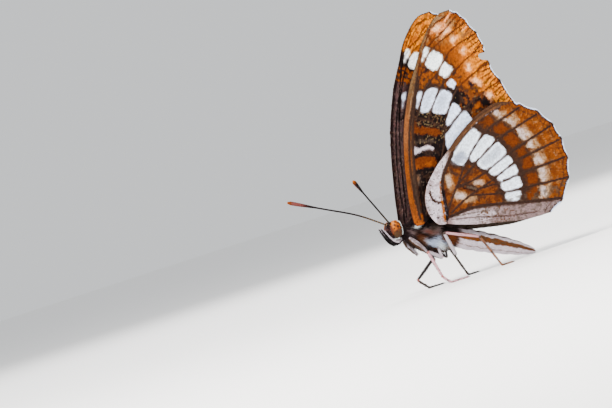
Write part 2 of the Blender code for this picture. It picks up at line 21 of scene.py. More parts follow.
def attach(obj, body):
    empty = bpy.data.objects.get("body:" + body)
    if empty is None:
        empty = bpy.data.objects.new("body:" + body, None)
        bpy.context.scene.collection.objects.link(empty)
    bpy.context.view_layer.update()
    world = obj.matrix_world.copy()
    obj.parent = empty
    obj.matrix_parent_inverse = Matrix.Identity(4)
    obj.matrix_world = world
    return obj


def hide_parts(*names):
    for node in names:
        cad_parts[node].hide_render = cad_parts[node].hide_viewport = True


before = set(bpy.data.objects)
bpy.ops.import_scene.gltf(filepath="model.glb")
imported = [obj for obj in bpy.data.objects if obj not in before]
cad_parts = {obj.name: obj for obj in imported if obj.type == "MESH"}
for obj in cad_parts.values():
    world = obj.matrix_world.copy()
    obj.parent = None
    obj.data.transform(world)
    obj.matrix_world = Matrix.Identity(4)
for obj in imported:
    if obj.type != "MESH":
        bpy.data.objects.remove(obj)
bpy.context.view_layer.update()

LOG = logging.getLogger("admiral")

MM = 0.001
MIDDLE_X = 5.91
FLOOR_DROP = 9.8
FOOT_LEVEL = -FLOOR_DROP + 0.02
BAKE_MAP = "OFBake"
TUFT_PATCH = 0.003
PIGMENT = "pigment"
TONE_POWER = 2.4
TINY = 1e-9
SCALE_SHADES = (0.74, 1.26)
HAIR_SHADES = (0.8, 1.15)
SIDES = (-1, 1)
FACES = (1, -1)

Array = np.ndarray
Material = bpy.types.Material
Random = np.random.Generator
Mask = Array | float
Point2 = tuple[float, float]
Point3 = tuple[float, float, float]
Point4 = tuple[float, float, float, float]


class Dye(Enum):
    """Colours of scales, hair and shell in linear light, red, green and blue from 0 to 1."""

    CHALK = (0.66, 0.75, 0.96)
    MILK = (0.902, 0.97, 0.97)
    SLATE = (0.162, 0.184, 0.254)
    LILAC = (0.441, 0.381, 0.425)
    MAUVE = (0.154, 0.103, 0.102)
    PINK = (0.44, 0.23, 0.26)
    ROSE = (0.266, 0.0685, 0.0557)
    CREAM = (0.254, 0.144, 0.0692)
    PEACH = (0.776, 0.296, 0.119)
    SALMON = (0.153, 0.0543, 0.0197)
    SAND = (0.107, 0.0717, 0.0317)
    ASH = (0.0478, 0.0328, 0.0232)
    OLIVE = (0.03, 0.0135, 0.0003)
    GOLD = (0.68, 0.205, 0.0001)
    ORANGE = (0.33, 0.076, 0.0003)
    AMBER = (0.189, 0.0389, 0.0005)
    RUST = (0.115, 0.0263, 0.0025)
    BRICK = (0.0839, 0.0156, 0.0005)
    CHESTNUT = (0.0531, 0.0115, 0.0014)
    BARK = (0.0587, 0.0247, 0.01)
    UMBER = (0.0217, 0.0094, 0.0053)
    PLUM = (0.0094, 0.0032, 0.0043)
    INK = (0.0022, 0.0005, 0.0005)

    @property
    def linear(self) -> Array:
        """The colour as an array."""
        return np.array(self.value)

    @property
    def tone(self) -> Array:
        """The colour with even steps from dark to light, for mixing."""
        return self.linear ** (1 / TONE_POWER)


def side_name(side: int) -> str:
    """The word for a side, -1 for left and 1 for right."""
    return "left" if side < 0 else "right"


def placed(points: Array) -> Array:
    """Drawing millimetres, whose last axis is x, y, z, as metres of the frame."""
    return (np.asarray(points, float) + (-MIDDLE_X, 0.0, FLOOR_DROP)) * MM


def mirrored(points: Sequence[Point3], side: int) -> Array:
    """Points given for the right side, on the right for 1 and on the left for -1."""
    return np.asarray(points, float) * (1, side, 1)


def unit(vectors: Array) -> Array:
    """The vectors, one to a row, made one long."""
    return vectors / (np.linalg.norm(vectors, axis=1)[:, None] + TINY)


def leftward(vectors: Array) -> Array:
    """Flat vectors, one to a row, turned left by a right angle."""
    return np.stack([-vectors[:, 1], vectors[:, 0]], 1)


def closed(outline: Array) -> Array:
    """An outline with its first point again at its end."""
    return np.vstack([outline, outline[:1]])


def ramp(low: float, high: float, value: Array) -> Array:
    """A soft step from 0 at low to 1 at high."""
    t = np.clip((value - low) / (high - low), 0.0, 1.0)
    return t * t * (3.0 - 2.0 * t)


def varied(colours: Array, random: Random, least: float, most: float) -> Array:
    """The colours, one to a row, each times a random factor."""
    return colours * random.uniform(least, most, (len(colours), 1))


def run_along(line: Array) -> Array:
    """How far along a line each of its points is."""
    return np.append(0, np.cumsum(np.linalg.norm(np.diff(line, axis=0), axis=1)))


def read_at(at: Array, run: Array, rows: Array) -> Array:
    """Rows of values that are known at the places run, read at other places."""
    return np.stack([np.interp(at, run, column) for column in rows.T], axis=1)


def curve_through(points: Sequence[Sequence[float]], step: float) -> Array:
    """Points about a step apart on a smooth curve through the given ones.

    Args:
        points: The points to pass, in any number of dimensions.
        step: The wanted distance between neighbours.

    Returns:
        The curve's points, one to a row.
    """
    known = np.asarray(points, float)
    known = np.vstack([2 * known[0] - known[1], known, 2 * known[-1] - known[-2]])
    line = []
    for a, b, c, d in zip(known, known[1:], known[2:], known[3:]):
        count = max(1, round(float(np.linalg.norm(c - b)) / step))
        t = (np.arange(count) / count)[:, None]
        bend = (c - a) * t + (2 * a - 5 * b + 4 * c - d) * t ** 2 + (3 * b - a - 3 * c + d) * t ** 3
        line.append(b + 0.5 * bend)
    return np.vstack(line + [known[-2:-1]])


def rounded(points: Array, step: float, softness: int) -> Array:
    """A line with straight lengths whose corners are eased.

    Args:
        points: The line's corners.
        step: The distance between the new points.
        softness: Over how many points each corner is eased.

    Returns:
        The line's points.
    """
    run = run_along(points)
    line = read_at(np.linspace(0, run[-1], max(8, round(run[-1] / step))), run, points)
    for _ in range(softness):
        line[1:-1] = (line[:-2] + 2 * line[1:-1] + line[2:]) / 4
    return line


def uneven_steps(
    line: Array, step: float, spread: float, back: float, random: Random
) -> tuple[Array, Array, Array]:
    """Places along a flat line, at steps that vary a little.

    Args:
        line: The line's points.
        step, spread: The middle step, and how much of it a place may move.
        back: How far behind a place its direction is read from.
        random: What draws the moves.

    Returns:
        How far along the places are, the places, and the line's direction there.
    """
    run = run_along(line)
    at = np.arange(0.1, run[-1] - 0.1, step)
    at = at + random.uniform(-spread, spread, len(at)) * step
    before, here, ahead = (read_at(at + away, run, line) for away in (-back, 0.0, 0.1))
    return at, here, unit(ahead - before)


def clouds(x: Array, z: Array, size: float, seed: float) -> Array:
    """Smooth random values over a plane.

    Args:
        x, z: The places.
        size: The distance over which the values change.
        seed: Picks one of the many fields.

    Returns:
        Values from -1 to 1.
    """
    u, v = x / size, z / size
    i, j = np.floor(u), np.floor(v)
    fu, fv = ramp(0, 1, u - i), ramp(0, 1, v - j)

    def corner(di: int, dj: int) -> Array:
        """The random value at one corner of each cell."""
        wave = np.sin((i + di) * 127.1 + (j + dj) * 311.7 + seed * 74.7) * 43758.5453
        return wave - np.floor(wave)

    near = corner(0, 0) * (1 - fu) + corner(1, 0) * fu
    far = corner(0, 1) * (1 - fu) + corner(1, 1) * fu
    return (near * (1 - fv) + far * fv) * 2 - 1


def nearest(x: Array, z: Array, line: Array) -> tuple[Array, Array]:
    """How far flat points lie from a line of points.

    Args:
        x, z: The points.
        line: The line's points, one to a row.

    Returns:
        The distance of each point, and how far along the line its nearest place is.
    """
    best, place, run = np.full(np.shape(x), np.inf), np.zeros(np.shape(x)), 0.0
    for (x1, z1), (x2, z2) in zip(line, line[1:]):
        dx, dz = x2 - x1, z2 - z1
        length = math.hypot(dx, dz)
        if length == 0:
            continue
        t = np.clip(((x - x1) * dx + (z - z1) * dz) / length ** 2, 0, 1)
        away = np.hypot(x - x1 - t * dx, z - z1 - t * dz)
        nearer = away < best
        best = np.where(nearer, away, best)
        place = np.where(nearer, run + t * length, place)
        run += length
    return best, place


def distance(x: Array, z: Array, line: Array) -> Array:
    """How far flat points lie from a line of points."""
    return nearest(x, z, line)[0]


def within(x: Array, z: Array, outline: Sequence[Point2]) -> Array:
    """Which flat points lie inside an outline.

    Args:
        x, z: The points.
        outline: The outline's points.

    Returns:
        Whether each point lies inside.
    """
    found = np.zeros(np.shape(x), bool)
    for (x1, z1), (x2, z2) in zip(outline, np.roll(outline, -1, axis=0)):
        if z1 != z2:
            found ^= ((z1 > z) != (z2 > z)) & (x < (x2 - x1) * (z - z1) / (z2 - z1) + x1)
    return found


def put(name: str, data: bpy.types.ID) -> bpy.types.Object:
    """A new object in the scene.

    Args:
        name: Its name.
        data: The mesh, light or camera that it shows.

    Returns:
        The object.
    """
    made = bpy.data.objects.new(name, data)
    bpy.context.scene.collection.objects.link(made)
    return made


class Socket:
    """A node's output whose arithmetic adds Math nodes to its material."""

    def __init__(self, sheet: "NodeSheet", link: bpy.types.NodeSocket) -> None:
        """Keeps the material's sheet and the output."""
        self.sheet = sheet
        self.link = link

    def _maths(self, operation: str, first: object, second: object) -> "Socket":
        """One Math node on two values."""
        return self.sheet.add("ShaderNodeMath", {"operation": operation}, {0: first, 1: second})

    def __add__(self, other: object) -> "Socket":
        """This plus another value."""
        return self._maths("ADD", self, other)

    def __radd__(self, other: object) -> "Socket":
        """Another value plus this."""
        return self._maths("ADD", other, self)

    def __sub__(self, other: object) -> "Socket":
        """This less another value."""
        return self._maths("SUBTRACT", self, other)

    def __rsub__(self, other: object) -> "Socket":
        """Another value less this."""
        return self._maths("SUBTRACT", other, self)

    def __mul__(self, other: object) -> "Socket":
        """This times another value."""
        return self._maths("MULTIPLY", self, other)

    def __rmul__(self, other: object) -> "Socket":
        """Another value times this."""
        return self._maths("MULTIPLY", other, self)

    def rises(self, low: float, high: float) -> "Socket":
        """A soft step of this value from 0 at low to 1 at high."""
        ends = {"From Min": low, "From Max": high, "Value": self}
        return self.sheet.add("ShaderNodeMapRange", {"interpolation_type": "SMOOTHSTEP"}, ends)


class NodeSheet:
    """A material's nodes, with one shader that they feed."""

    def __init__(self, name: str) -> None:
        """Starts a material with its shader and output.

        Args:
            name: The material's name.
        """
        self.material = bpy.data.materials.new(name)
        self.material.use_nodes = True
        self.tree = self.material.node_tree
        self.tree.nodes.clear()
        output = self.tree.nodes.new("ShaderNodeOutputMaterial")
        self.shader = self.tree.nodes.new("ShaderNodeBsdfPrincipled")
        self.tree.links.new(self.shader.outputs["BSDF"], output.inputs["Surface"])

    def set(self, node: bpy.types.Node, inputs: Mapping[str | int, object]) -> None:
        """Gives a node's inputs their links or values.

        Args:
            node: The node.
            inputs: A Socket, number or tuple for each input's name or number.
        """
        for key, value in inputs.items():
            if isinstance(value, Socket):
                self.tree.links.new(value.link, node.inputs[key])
            else:
                node.inputs[key].default_value = value

    def add(
        self, kind: str, settings: Mapping[str, object], inputs: Mapping[str | int, object],
        output: str | int = 0,
    ) -> Socket:
        """Any node.

        Args:
            kind: The node's type.
            settings: Its own settings, which are set first.
            inputs: Links or values of its inputs.
            output: The output that is wanted.

        Returns:
            That output.
        """
        node = self.tree.nodes.new(kind)
        for key, value in settings.items():
            setattr(node, key, value)
        self.set(node, inputs)
        return Socket(self, node.outputs[output])

    def place(self) -> Socket:
        """The place in the object's own coordinates."""
        return self.add("ShaderNodeTexCoord", {}, {}, "Object")

    def noise(self, size: float, detail: float = 3.0) -> Socket:
        """Noise fixed to the object, with features of a size in metres."""
        inputs = {"Vector": self.place(), "Scale": 1 / size, "Detail": detail, "Roughness": 0.55}
        return self.add("ShaderNodeTexNoise", {}, inputs)

    def pigment(self) -> Socket:
        """The colour painted on the mesh."""
        return self.add("ShaderNodeAttribute", {"attribute_name": PIGMENT}, {}, "Color")

    def bump(self, height: Socket, depth: float) -> Socket:
        """A normal bent by a height, for a depth in metres."""
        inputs = {"Height": height, "Distance": depth, "Strength": 1.0}
        return self.add("ShaderNodeBump", {}, inputs)


@dataclass(frozen=True)
class PaintedFinish:
    """A finish whose colour is painted on the mesh, mottled, with a fine grain."""

    name: str
    roughness: float = 0.6
    mottle: float = 0.16
    mottle_size: float = 0.5
    grain_size: float = 0.12
    grain_depth: float = 0.02
    specular: float = 0.06

    def material(self) -> Material:
        """Builds the material.

        Returns:
            The material.
        """
        sheet = NodeSheet(self.name)
        cloud = sheet.noise(self.mottle_size * MM)
        grain = sheet.noise(self.grain_size * MM, 2.0)
        light = 1.0 + (cloud - 0.5) * (2.0 * self.mottle)
        paint = {"Color": sheet.pigment(), "Value": light}
        sheet.set(sheet.shader, {
            "Base Color": sheet.add("ShaderNodeHueSaturation", {}, paint),
            "Roughness": self.roughness + (grain - 0.5) * 0.2,
            "Specular IOR Level": self.specular,
            "Normal": sheet.bump(grain, self.grain_depth * MM),
        })
        return sheet.material


@dataclass(frozen=True)
class EyeFinish:
    """The finish of the eyes: a clear shine over fine facets."""

    name: str = "eye_glass"
    facet: float = 0.05
    depth: float = 0.012
    rim: Point3 = (0.02, 0.01, 0.01)
    roughness: float = 0.25
    coat: float = 0.06
    coat_roughness: float = 0.12
    specular: float = 0.08

    def material(self) -> Material:
        """Builds the material.

        Returns:
            The material.
        """
        sheet = NodeSheet(self.name)
        inputs = {"Vector": sheet.place(), "Scale": 1 / (self.facet * MM)}
        facets = sheet.add("ShaderNodeTexVoronoi", {"feature": "F1"}, inputs, "Distance")
        dome = 1.0 - facets * facets
        colours = {0: facets.rises(0.35, 0.75) * 0.35, 6: sheet.pigment(), 7: (*self.rim, 1.0)}
        sheet.set(sheet.shader, {
            "Base Color": sheet.add("ShaderNodeMix", {"data_type": "RGBA"}, colours, 2),
            "Roughness": self.roughness,
            "Coat Weight": self.coat,
            "Coat Roughness": self.coat_roughness,
            "Specular IOR Level": self.specular,
            "Normal": sheet.bump(dome, self.depth * MM),
        })
        return sheet.material


class Canvas:
    """Flat places on a wing or body, in drawing millimetres, that markings are painted on."""

    def __init__(self, x: Array, z: Array, seed: int) -> None:
        """Starts bare places.

        Args:
            x, z: The places.
            seed: Seed of the single scales that differ from their neighbours.
        """
        self.x = x
        self.z = z
        self.tone = np.zeros((len(x), 3))
        self.random = np.random.default_rng(seed)

    @property
    def colour(self) -> Array:
        """The painted colours, in linear light."""
        return self.tone ** TONE_POWER

    def lay(self, mask: Mask, dye: Dye) -> None:
        """Covers the places by a mask from 0 to 1."""
        share = np.clip(np.broadcast_to(mask, self.x.shape), 0, 1)[:, None]
        self.tone = self.tone * (1 - share) + dye.tone * share

    def mottle(
        self, dye: Dye, share: float, size: float, seed: float, mask: Mask = 1.0, cut: float = 0.1
    ) -> None:
        """Blotches of a colour.

        Args:
            dye, share: The colour, and how much of what is below it hides.
            size, seed: How large the blotches are, and which of the many patterns.
            mask, cut: Where, from 0 to 1, and how rare they are, from -1 to 1.
        """
        blotches = clouds(self.x, self.z, size, seed)
        blotches = blotches + 0.6 * clouds(self.x, self.z, size * 0.37, seed + 0.5)
        self.lay(ramp(cut - 0.25, cut + 0.25, blotches) * share * mask, dye)

    def ragged(self, amount: float, size: float = 0.55) -> Array:
        """How much an edge wanders at each place."""
        coarse = clouds(self.x, self.z, size, 3.1)
        return amount * (coarse + 0.6 * clouds(self.x, self.z, size * 0.4, 8.7))

    def area(
        self, outline: Sequence[Point2], dye: Dye, soft: float = 0.15, ragged: float = 0.1,
        share: float = 1.0,
    ) -> None:
        """Fills an outline.

        Args:
            outline: The outline's points.
            dye, share: The colour, and how much of what is below it hides.
            soft, ragged: How wide its edge is, and how much it wanders.
        """
        away = distance(self.x, self.z, closed(outline))
        away = np.where(within(self.x, self.z, outline), away, -away) + self.ragged(ragged)
        self.lay(ramp(-soft, soft, away) * share, dye)

    def blot(
        self, centre: Point2, half: Point2, turn: float, dye: Dye, soft: float = 0.3,
        ragged: float = 0.15, share: Mask = 1.0,
    ) -> None:
        """A round or long spot.

        Args:
            centre, half: Its middle, and half its length and width.
            turn: The angle of its length above the x axis, in degrees.
            dye, share: The colour, and how much of what is below it hides.
            soft, ragged: How wide its edge is, and how much it wanders.
        """
        c, s = math.cos(math.radians(turn)), math.sin(math.radians(turn))
        x, z = self.x - centre[0], self.z - centre[1]
        size = np.hypot((x * c + z * s) / half[0], (z * c - x * s) / half[1])
        self.lay(ramp(-soft, soft, (1 - size) * min(half) + self.ragged(ragged)) * share, dye)

    def stroke(
        self, points: Sequence[Point2], half_width: float, dye: Dye, soft: float = 0.08,
        ragged: float = 0.04, share: float = 1.0,
    ) -> None:
        """A line of one width.

        Args:
            points, half_width: The points it passes, and half its width.
            dye, share: The colour, and how much of what is below it hides.
            soft, ragged: How wide its edge is, and how much it wanders.
        """
        inward = half_width - distance(self.x, self.z, curve_through(points, 0.5))
        self.lay(ramp(-soft, soft, inward + self.ragged(ragged, 0.4)) * share, dye)

    def scatter(self, mask: Mask, share: float, dye: Dye) -> None:
        """Gives a share of the single scales under a mask another colour, at random."""
        picked = self.random.random(len(self.x)) < share * np.broadcast_to(mask, self.x.shape)
        self.lay(picked * 0.85, dye)


@dataclass
class WingShape:
    """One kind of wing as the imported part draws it, flat, with x along the body and z up.

    Attributes:
        costa, outer, inner: The leading edge, the outer margin and the way back to the root.
        root, root_away: Where the wing meets the thorax, and how far that is from the middle.
        centre: The place that distances along the cells are measured from.
        fan: The place that the scales point away from.
        plane, opening: How far out the wing is at z 0, and how much more for each step up.
        scallop: How far the margin is drawn in between the veins.
        notch: The line of the tear in the margin.
        hollow, hollow_top: How far the membrane is curved in, and the height where that ends.
        tip_reach: How near to the margin a vein has to end to mark it.
        sag, sag_reach: How far the membrane sinks between the veins, and how far from them.
    """

    kind: str
    costa: Sequence[Point2]
    outer: Sequence[Point2]
    inner: Sequence[Point2]
    root: Point2
    root_away: float
    centre: Point2
    fan: Point2
    veins: Mapping[str, Sequence[Point2]]
    plane: float
    scallop: float
    notch: Sequence[Point2] = ()

    opening: float = 0.036
    hollow: float = 0.4
    hollow_top: float = 24.0
    root_reach: float = 1.3
    tip_reach: float = 1.6
    edge_step: float = 0.24
    vein_step: float = 0.35
    vein_half: float = 0.16
    vein_rise: float = 0.1
    half_thickness: float = 0.055
    sag: float = 0.1
    sag_reach: float = 0.9

    def __post_init__(self) -> None:
        """Works out the smooth veins and the scalloped margin, and finds the veins' ends on it."""
        self.lines = {n: curve_through(v, self.vein_step) for n, v in self.veins.items()}
        margin = curve_through(self.outer, self.edge_step)
        gaps = [np.hypot(*(margin - line[-1]).T) for line in self.lines.values()]
        ends = {int(gap.argmin()) for gap in gaps if gap.min() < self.tip_reach}
        self.tips = sorted({0, len(margin) - 1} | ends)
        self.margin = margin.copy()
        for start, end in zip(self.tips, self.tips[1:]):
            for k in range(start + 1, end):
                along = margin[k + 1] - margin[k - 1]
                inward = np.array((along[1], -along[0])) / math.hypot(*along)
                depth = self.scallop * math.sin(math.pi * (k - start) / (end - start))
                self.margin[k] += inward * depth

    def outline(self, torn: bool) -> Array:
        """The wing's edge all round.

        Args:
            torn: Whether the margin has the torn notch.

        Returns:
            The edge's points, clockwise.
        """
        outer = self.margin
        if torn and self.notch:
            top, low = self.notch[0][1] + 0.1, self.notch[-1][1] - 0.1
            bite = curve_through(self.notch, self.edge_step)
            outer = np.vstack([outer[outer[:, 1] > top], bite, outer[outer[:, 1] < low]])
        costa, inner = (curve_through(line, self.edge_step) for line in (self.costa, self.inner))
        return np.vstack([costa[:-1], outer[:-1], inner])

    def away(self, x: Array, z: Array) -> Array:
        """How far the middle of the membrane stands from the middle of the body.

        Args:
            x, z: Places along the body, and heights.

        Returns:
            The distance of each place.
        """
        share = np.clip(z / self.hollow_top, 0, 1)
        stand = self.plane + self.opening * z - self.hollow * np.sin(np.pi * share)
        bend = self.root_away - (self.plane + self.opening * self.root[1])
        reach = np.hypot(x - self.root[0], z - self.root[1]) / self.root_reach
        return stand + bend * np.exp(-reach ** 2)

    def from_veins(self, x: Array, z: Array) -> Array:
        """The distance to the nearest vein."""
        return np.min([distance(x, z, line) for line in self.lines.values()], axis=0)

    def relief(self, x: Array, z: Array, face: int) -> Array:
        """How far one face of the wing stands out from the membrane's middle.

        Args:
            x, z: Places along the body, and heights.
            face: 1 for the underside, which looks out, and -1 for the upper side.

        Returns:
            The distance of each place, outward from the body.
        """
        veins = self.from_veins(x, z)
        ridge = self.vein_rise * ramp(self.vein_half, 0.0, veins)
        pleat = self.sag * (1 - np.exp(-((veins / self.sag_reach) ** 2)))
        return face * (self.half_thickness + ridge) - pleat

    def along(self, names: Sequence[str], reach: Array) -> Array:
        """Places on veins that follow one another.

        Args:
            names: The veins, from the root.
            reach: How far from the wing's centre the places are.

        Returns:
            The places, one to a row.
        """
        line = np.vstack([self.lines[n] for n in names])
        known = np.hypot(*(line - self.centre).T)
        rising = np.append(True, known[1:] > np.maximum.accumulate(known)[:-1])
        return read_at(reach, known[rising], line[rising])


@dataclass(frozen=True)
class Cell:
    """A stretch of a wing between two veins.

    Attributes:
        above, below: The veins on its upper and lower side, one after another.
        start, end: Its reach from the wing's centre, on the upper and on the lower side.
    """

    above: tuple[str, ...]
    below: tuple[str, ...]
    start: Point2
    end: Point2

    def outward(self, start: float, end: float) -> "Cell":
        """The stretch beyond this one that lies between two distances from its end."""
        high, low = self.end
        return replace(self, start=(high + start, low + start), end=(high + end, low + end))


class WingCanvas(Canvas):
    """Places on one wing, painted by its veins and margin."""

    SQUARENESS = 3.5

    def __init__(self, shape: WingShape, x: Array, z: Array, seed: int) -> None:
        """Starts bare places on a wing.

        Args:
            shape: The kind of wing.
            x, z: Places along the body, and heights.
            seed: Seed of the single scales that differ from their neighbours.
        """
        super().__init__(x, z, seed)
        self.shape = shape
        self.reach = np.hypot(x - shape.centre[0], z - shape.centre[1])
        self.from_margin, self.margin_place = nearest(x, z, shape.margin)

    def cell(
        self, cell: Cell, dye: Dye, inset: float, soft: float, ragged: float, share: float = 1.0
    ) -> None:
        """Fills a cell's stretch, with rounded corners.

        Args:
            cell: The stretch.
            dye, share: The colour, and how much of what is below it hides.
            inset: How far it keeps from the veins and ends; below 0 it spreads past them.
            soft, ragged: How wide its edge is, and how much it wanders.
        """
        sides = zip((cell.above, cell.below), cell.start, cell.end)
        upper, lower = (self.shape.along(n, np.linspace(a, b, 9)) for n, a, b in sides)
        outline = np.vstack([upper, lower[::-1]])
        low, high = outline.min(0) - 1.5, outline.max(0) + 1.5
        near = (self.x > low[0]) & (self.x < high[0]) & (self.z > low[1]) & (self.z < high[1])
        x, z = self.x[near], self.z[near]
        ends = (np.stack([upper[k], lower[k]]) for k in (0, -1))
        gaps = np.array([distance(x, z, side) for side in (upper, lower, *ends)])
        inside = -np.log(np.exp(-self.SQUARENESS * gaps).sum(0)) / self.SQUARENESS
        depth = np.full(self.x.shape, -9.0)
        depth[near] = np.where(within(x, z, outline), inside, -distance(x, z, closed(outline)))
        self.lay(ramp(-soft, soft, depth - inset + self.ragged(ragged)) * share, dye)

    def veins(self, half_width: float, dye: Dye, mask: Mask = 1.0) -> None:
        """A line along every vein, under a mask."""
        depth = half_width - self.shape.from_veins(self.x, self.z) + self.ragged(0.03, 0.4)
        self.lay(ramp(-0.07, 0.07, depth) * mask, dye)

    def edge(self, width: float, dye: Dye, share: float = 1.0) -> None:
        """A line along the outer margin."""
        depth = width - self.from_margin + self.ragged(0.04)
        self.lay(ramp(-0.08, 0.08, depth) * share, dye)


FOREWING_BAND = (
    Cell(("media_1",), ("media_2",), (16, 15.9), (19.4, 19.2)),
    Cell(("media_2",), ("media_3",), (15.8, 15.9), (19.7, 20.3)),
    Cell(("media_3",), ("cubitus_1",), (15.9, 16.5), (20.3, 20.1)),
    Cell(("cubitus_1",), ("cubitus_2",), (14.7, 14.6), (19.1, 18.7)),
    Cell(("cubitus", "cubitus_2"), ("anal",), (12, 10.8), (19, 17.4)),
)
SUBAPICAL = (
    Cell(("radius", "radius_5"), ("media_1",), (22.6, 22.6), (25.7, 25.5)),
    Cell(("media_1",), ("media_2",), (22.6, 22), (25.6, 24.9)),
    Cell(("media_2",), ("media_3",), (22.1, 21.4), (24.4, 23.5)),
)
HINDWING_BAND = (
    Cell(("subcosta_radius",), ("radial_sector",), (8.6, 8.1), (14.6, 14.3)),
    Cell(("radial_sector",), ("media_1",), (9.5, 9.4), (14.8, 14.9)),
    Cell(("media_1",), ("media_2",), (9.4, 9.7), (14.9, 14.7)),
    Cell(("media_2",), ("cubitus",), (9.8, 10.1), (14.8, 14.6)),
    Cell(("cubitus",), ("cubitus_1",), (10.1, 10.2), (14.6, 14.4)),
    Cell(("cubitus_1",), ("cubitus_2",), (10.2, 10.2), (14.2, 13.8)),
    Cell(("cubitus_2",), ("anal_2",), (10.2, 10), (13.6, 12.6)),
)


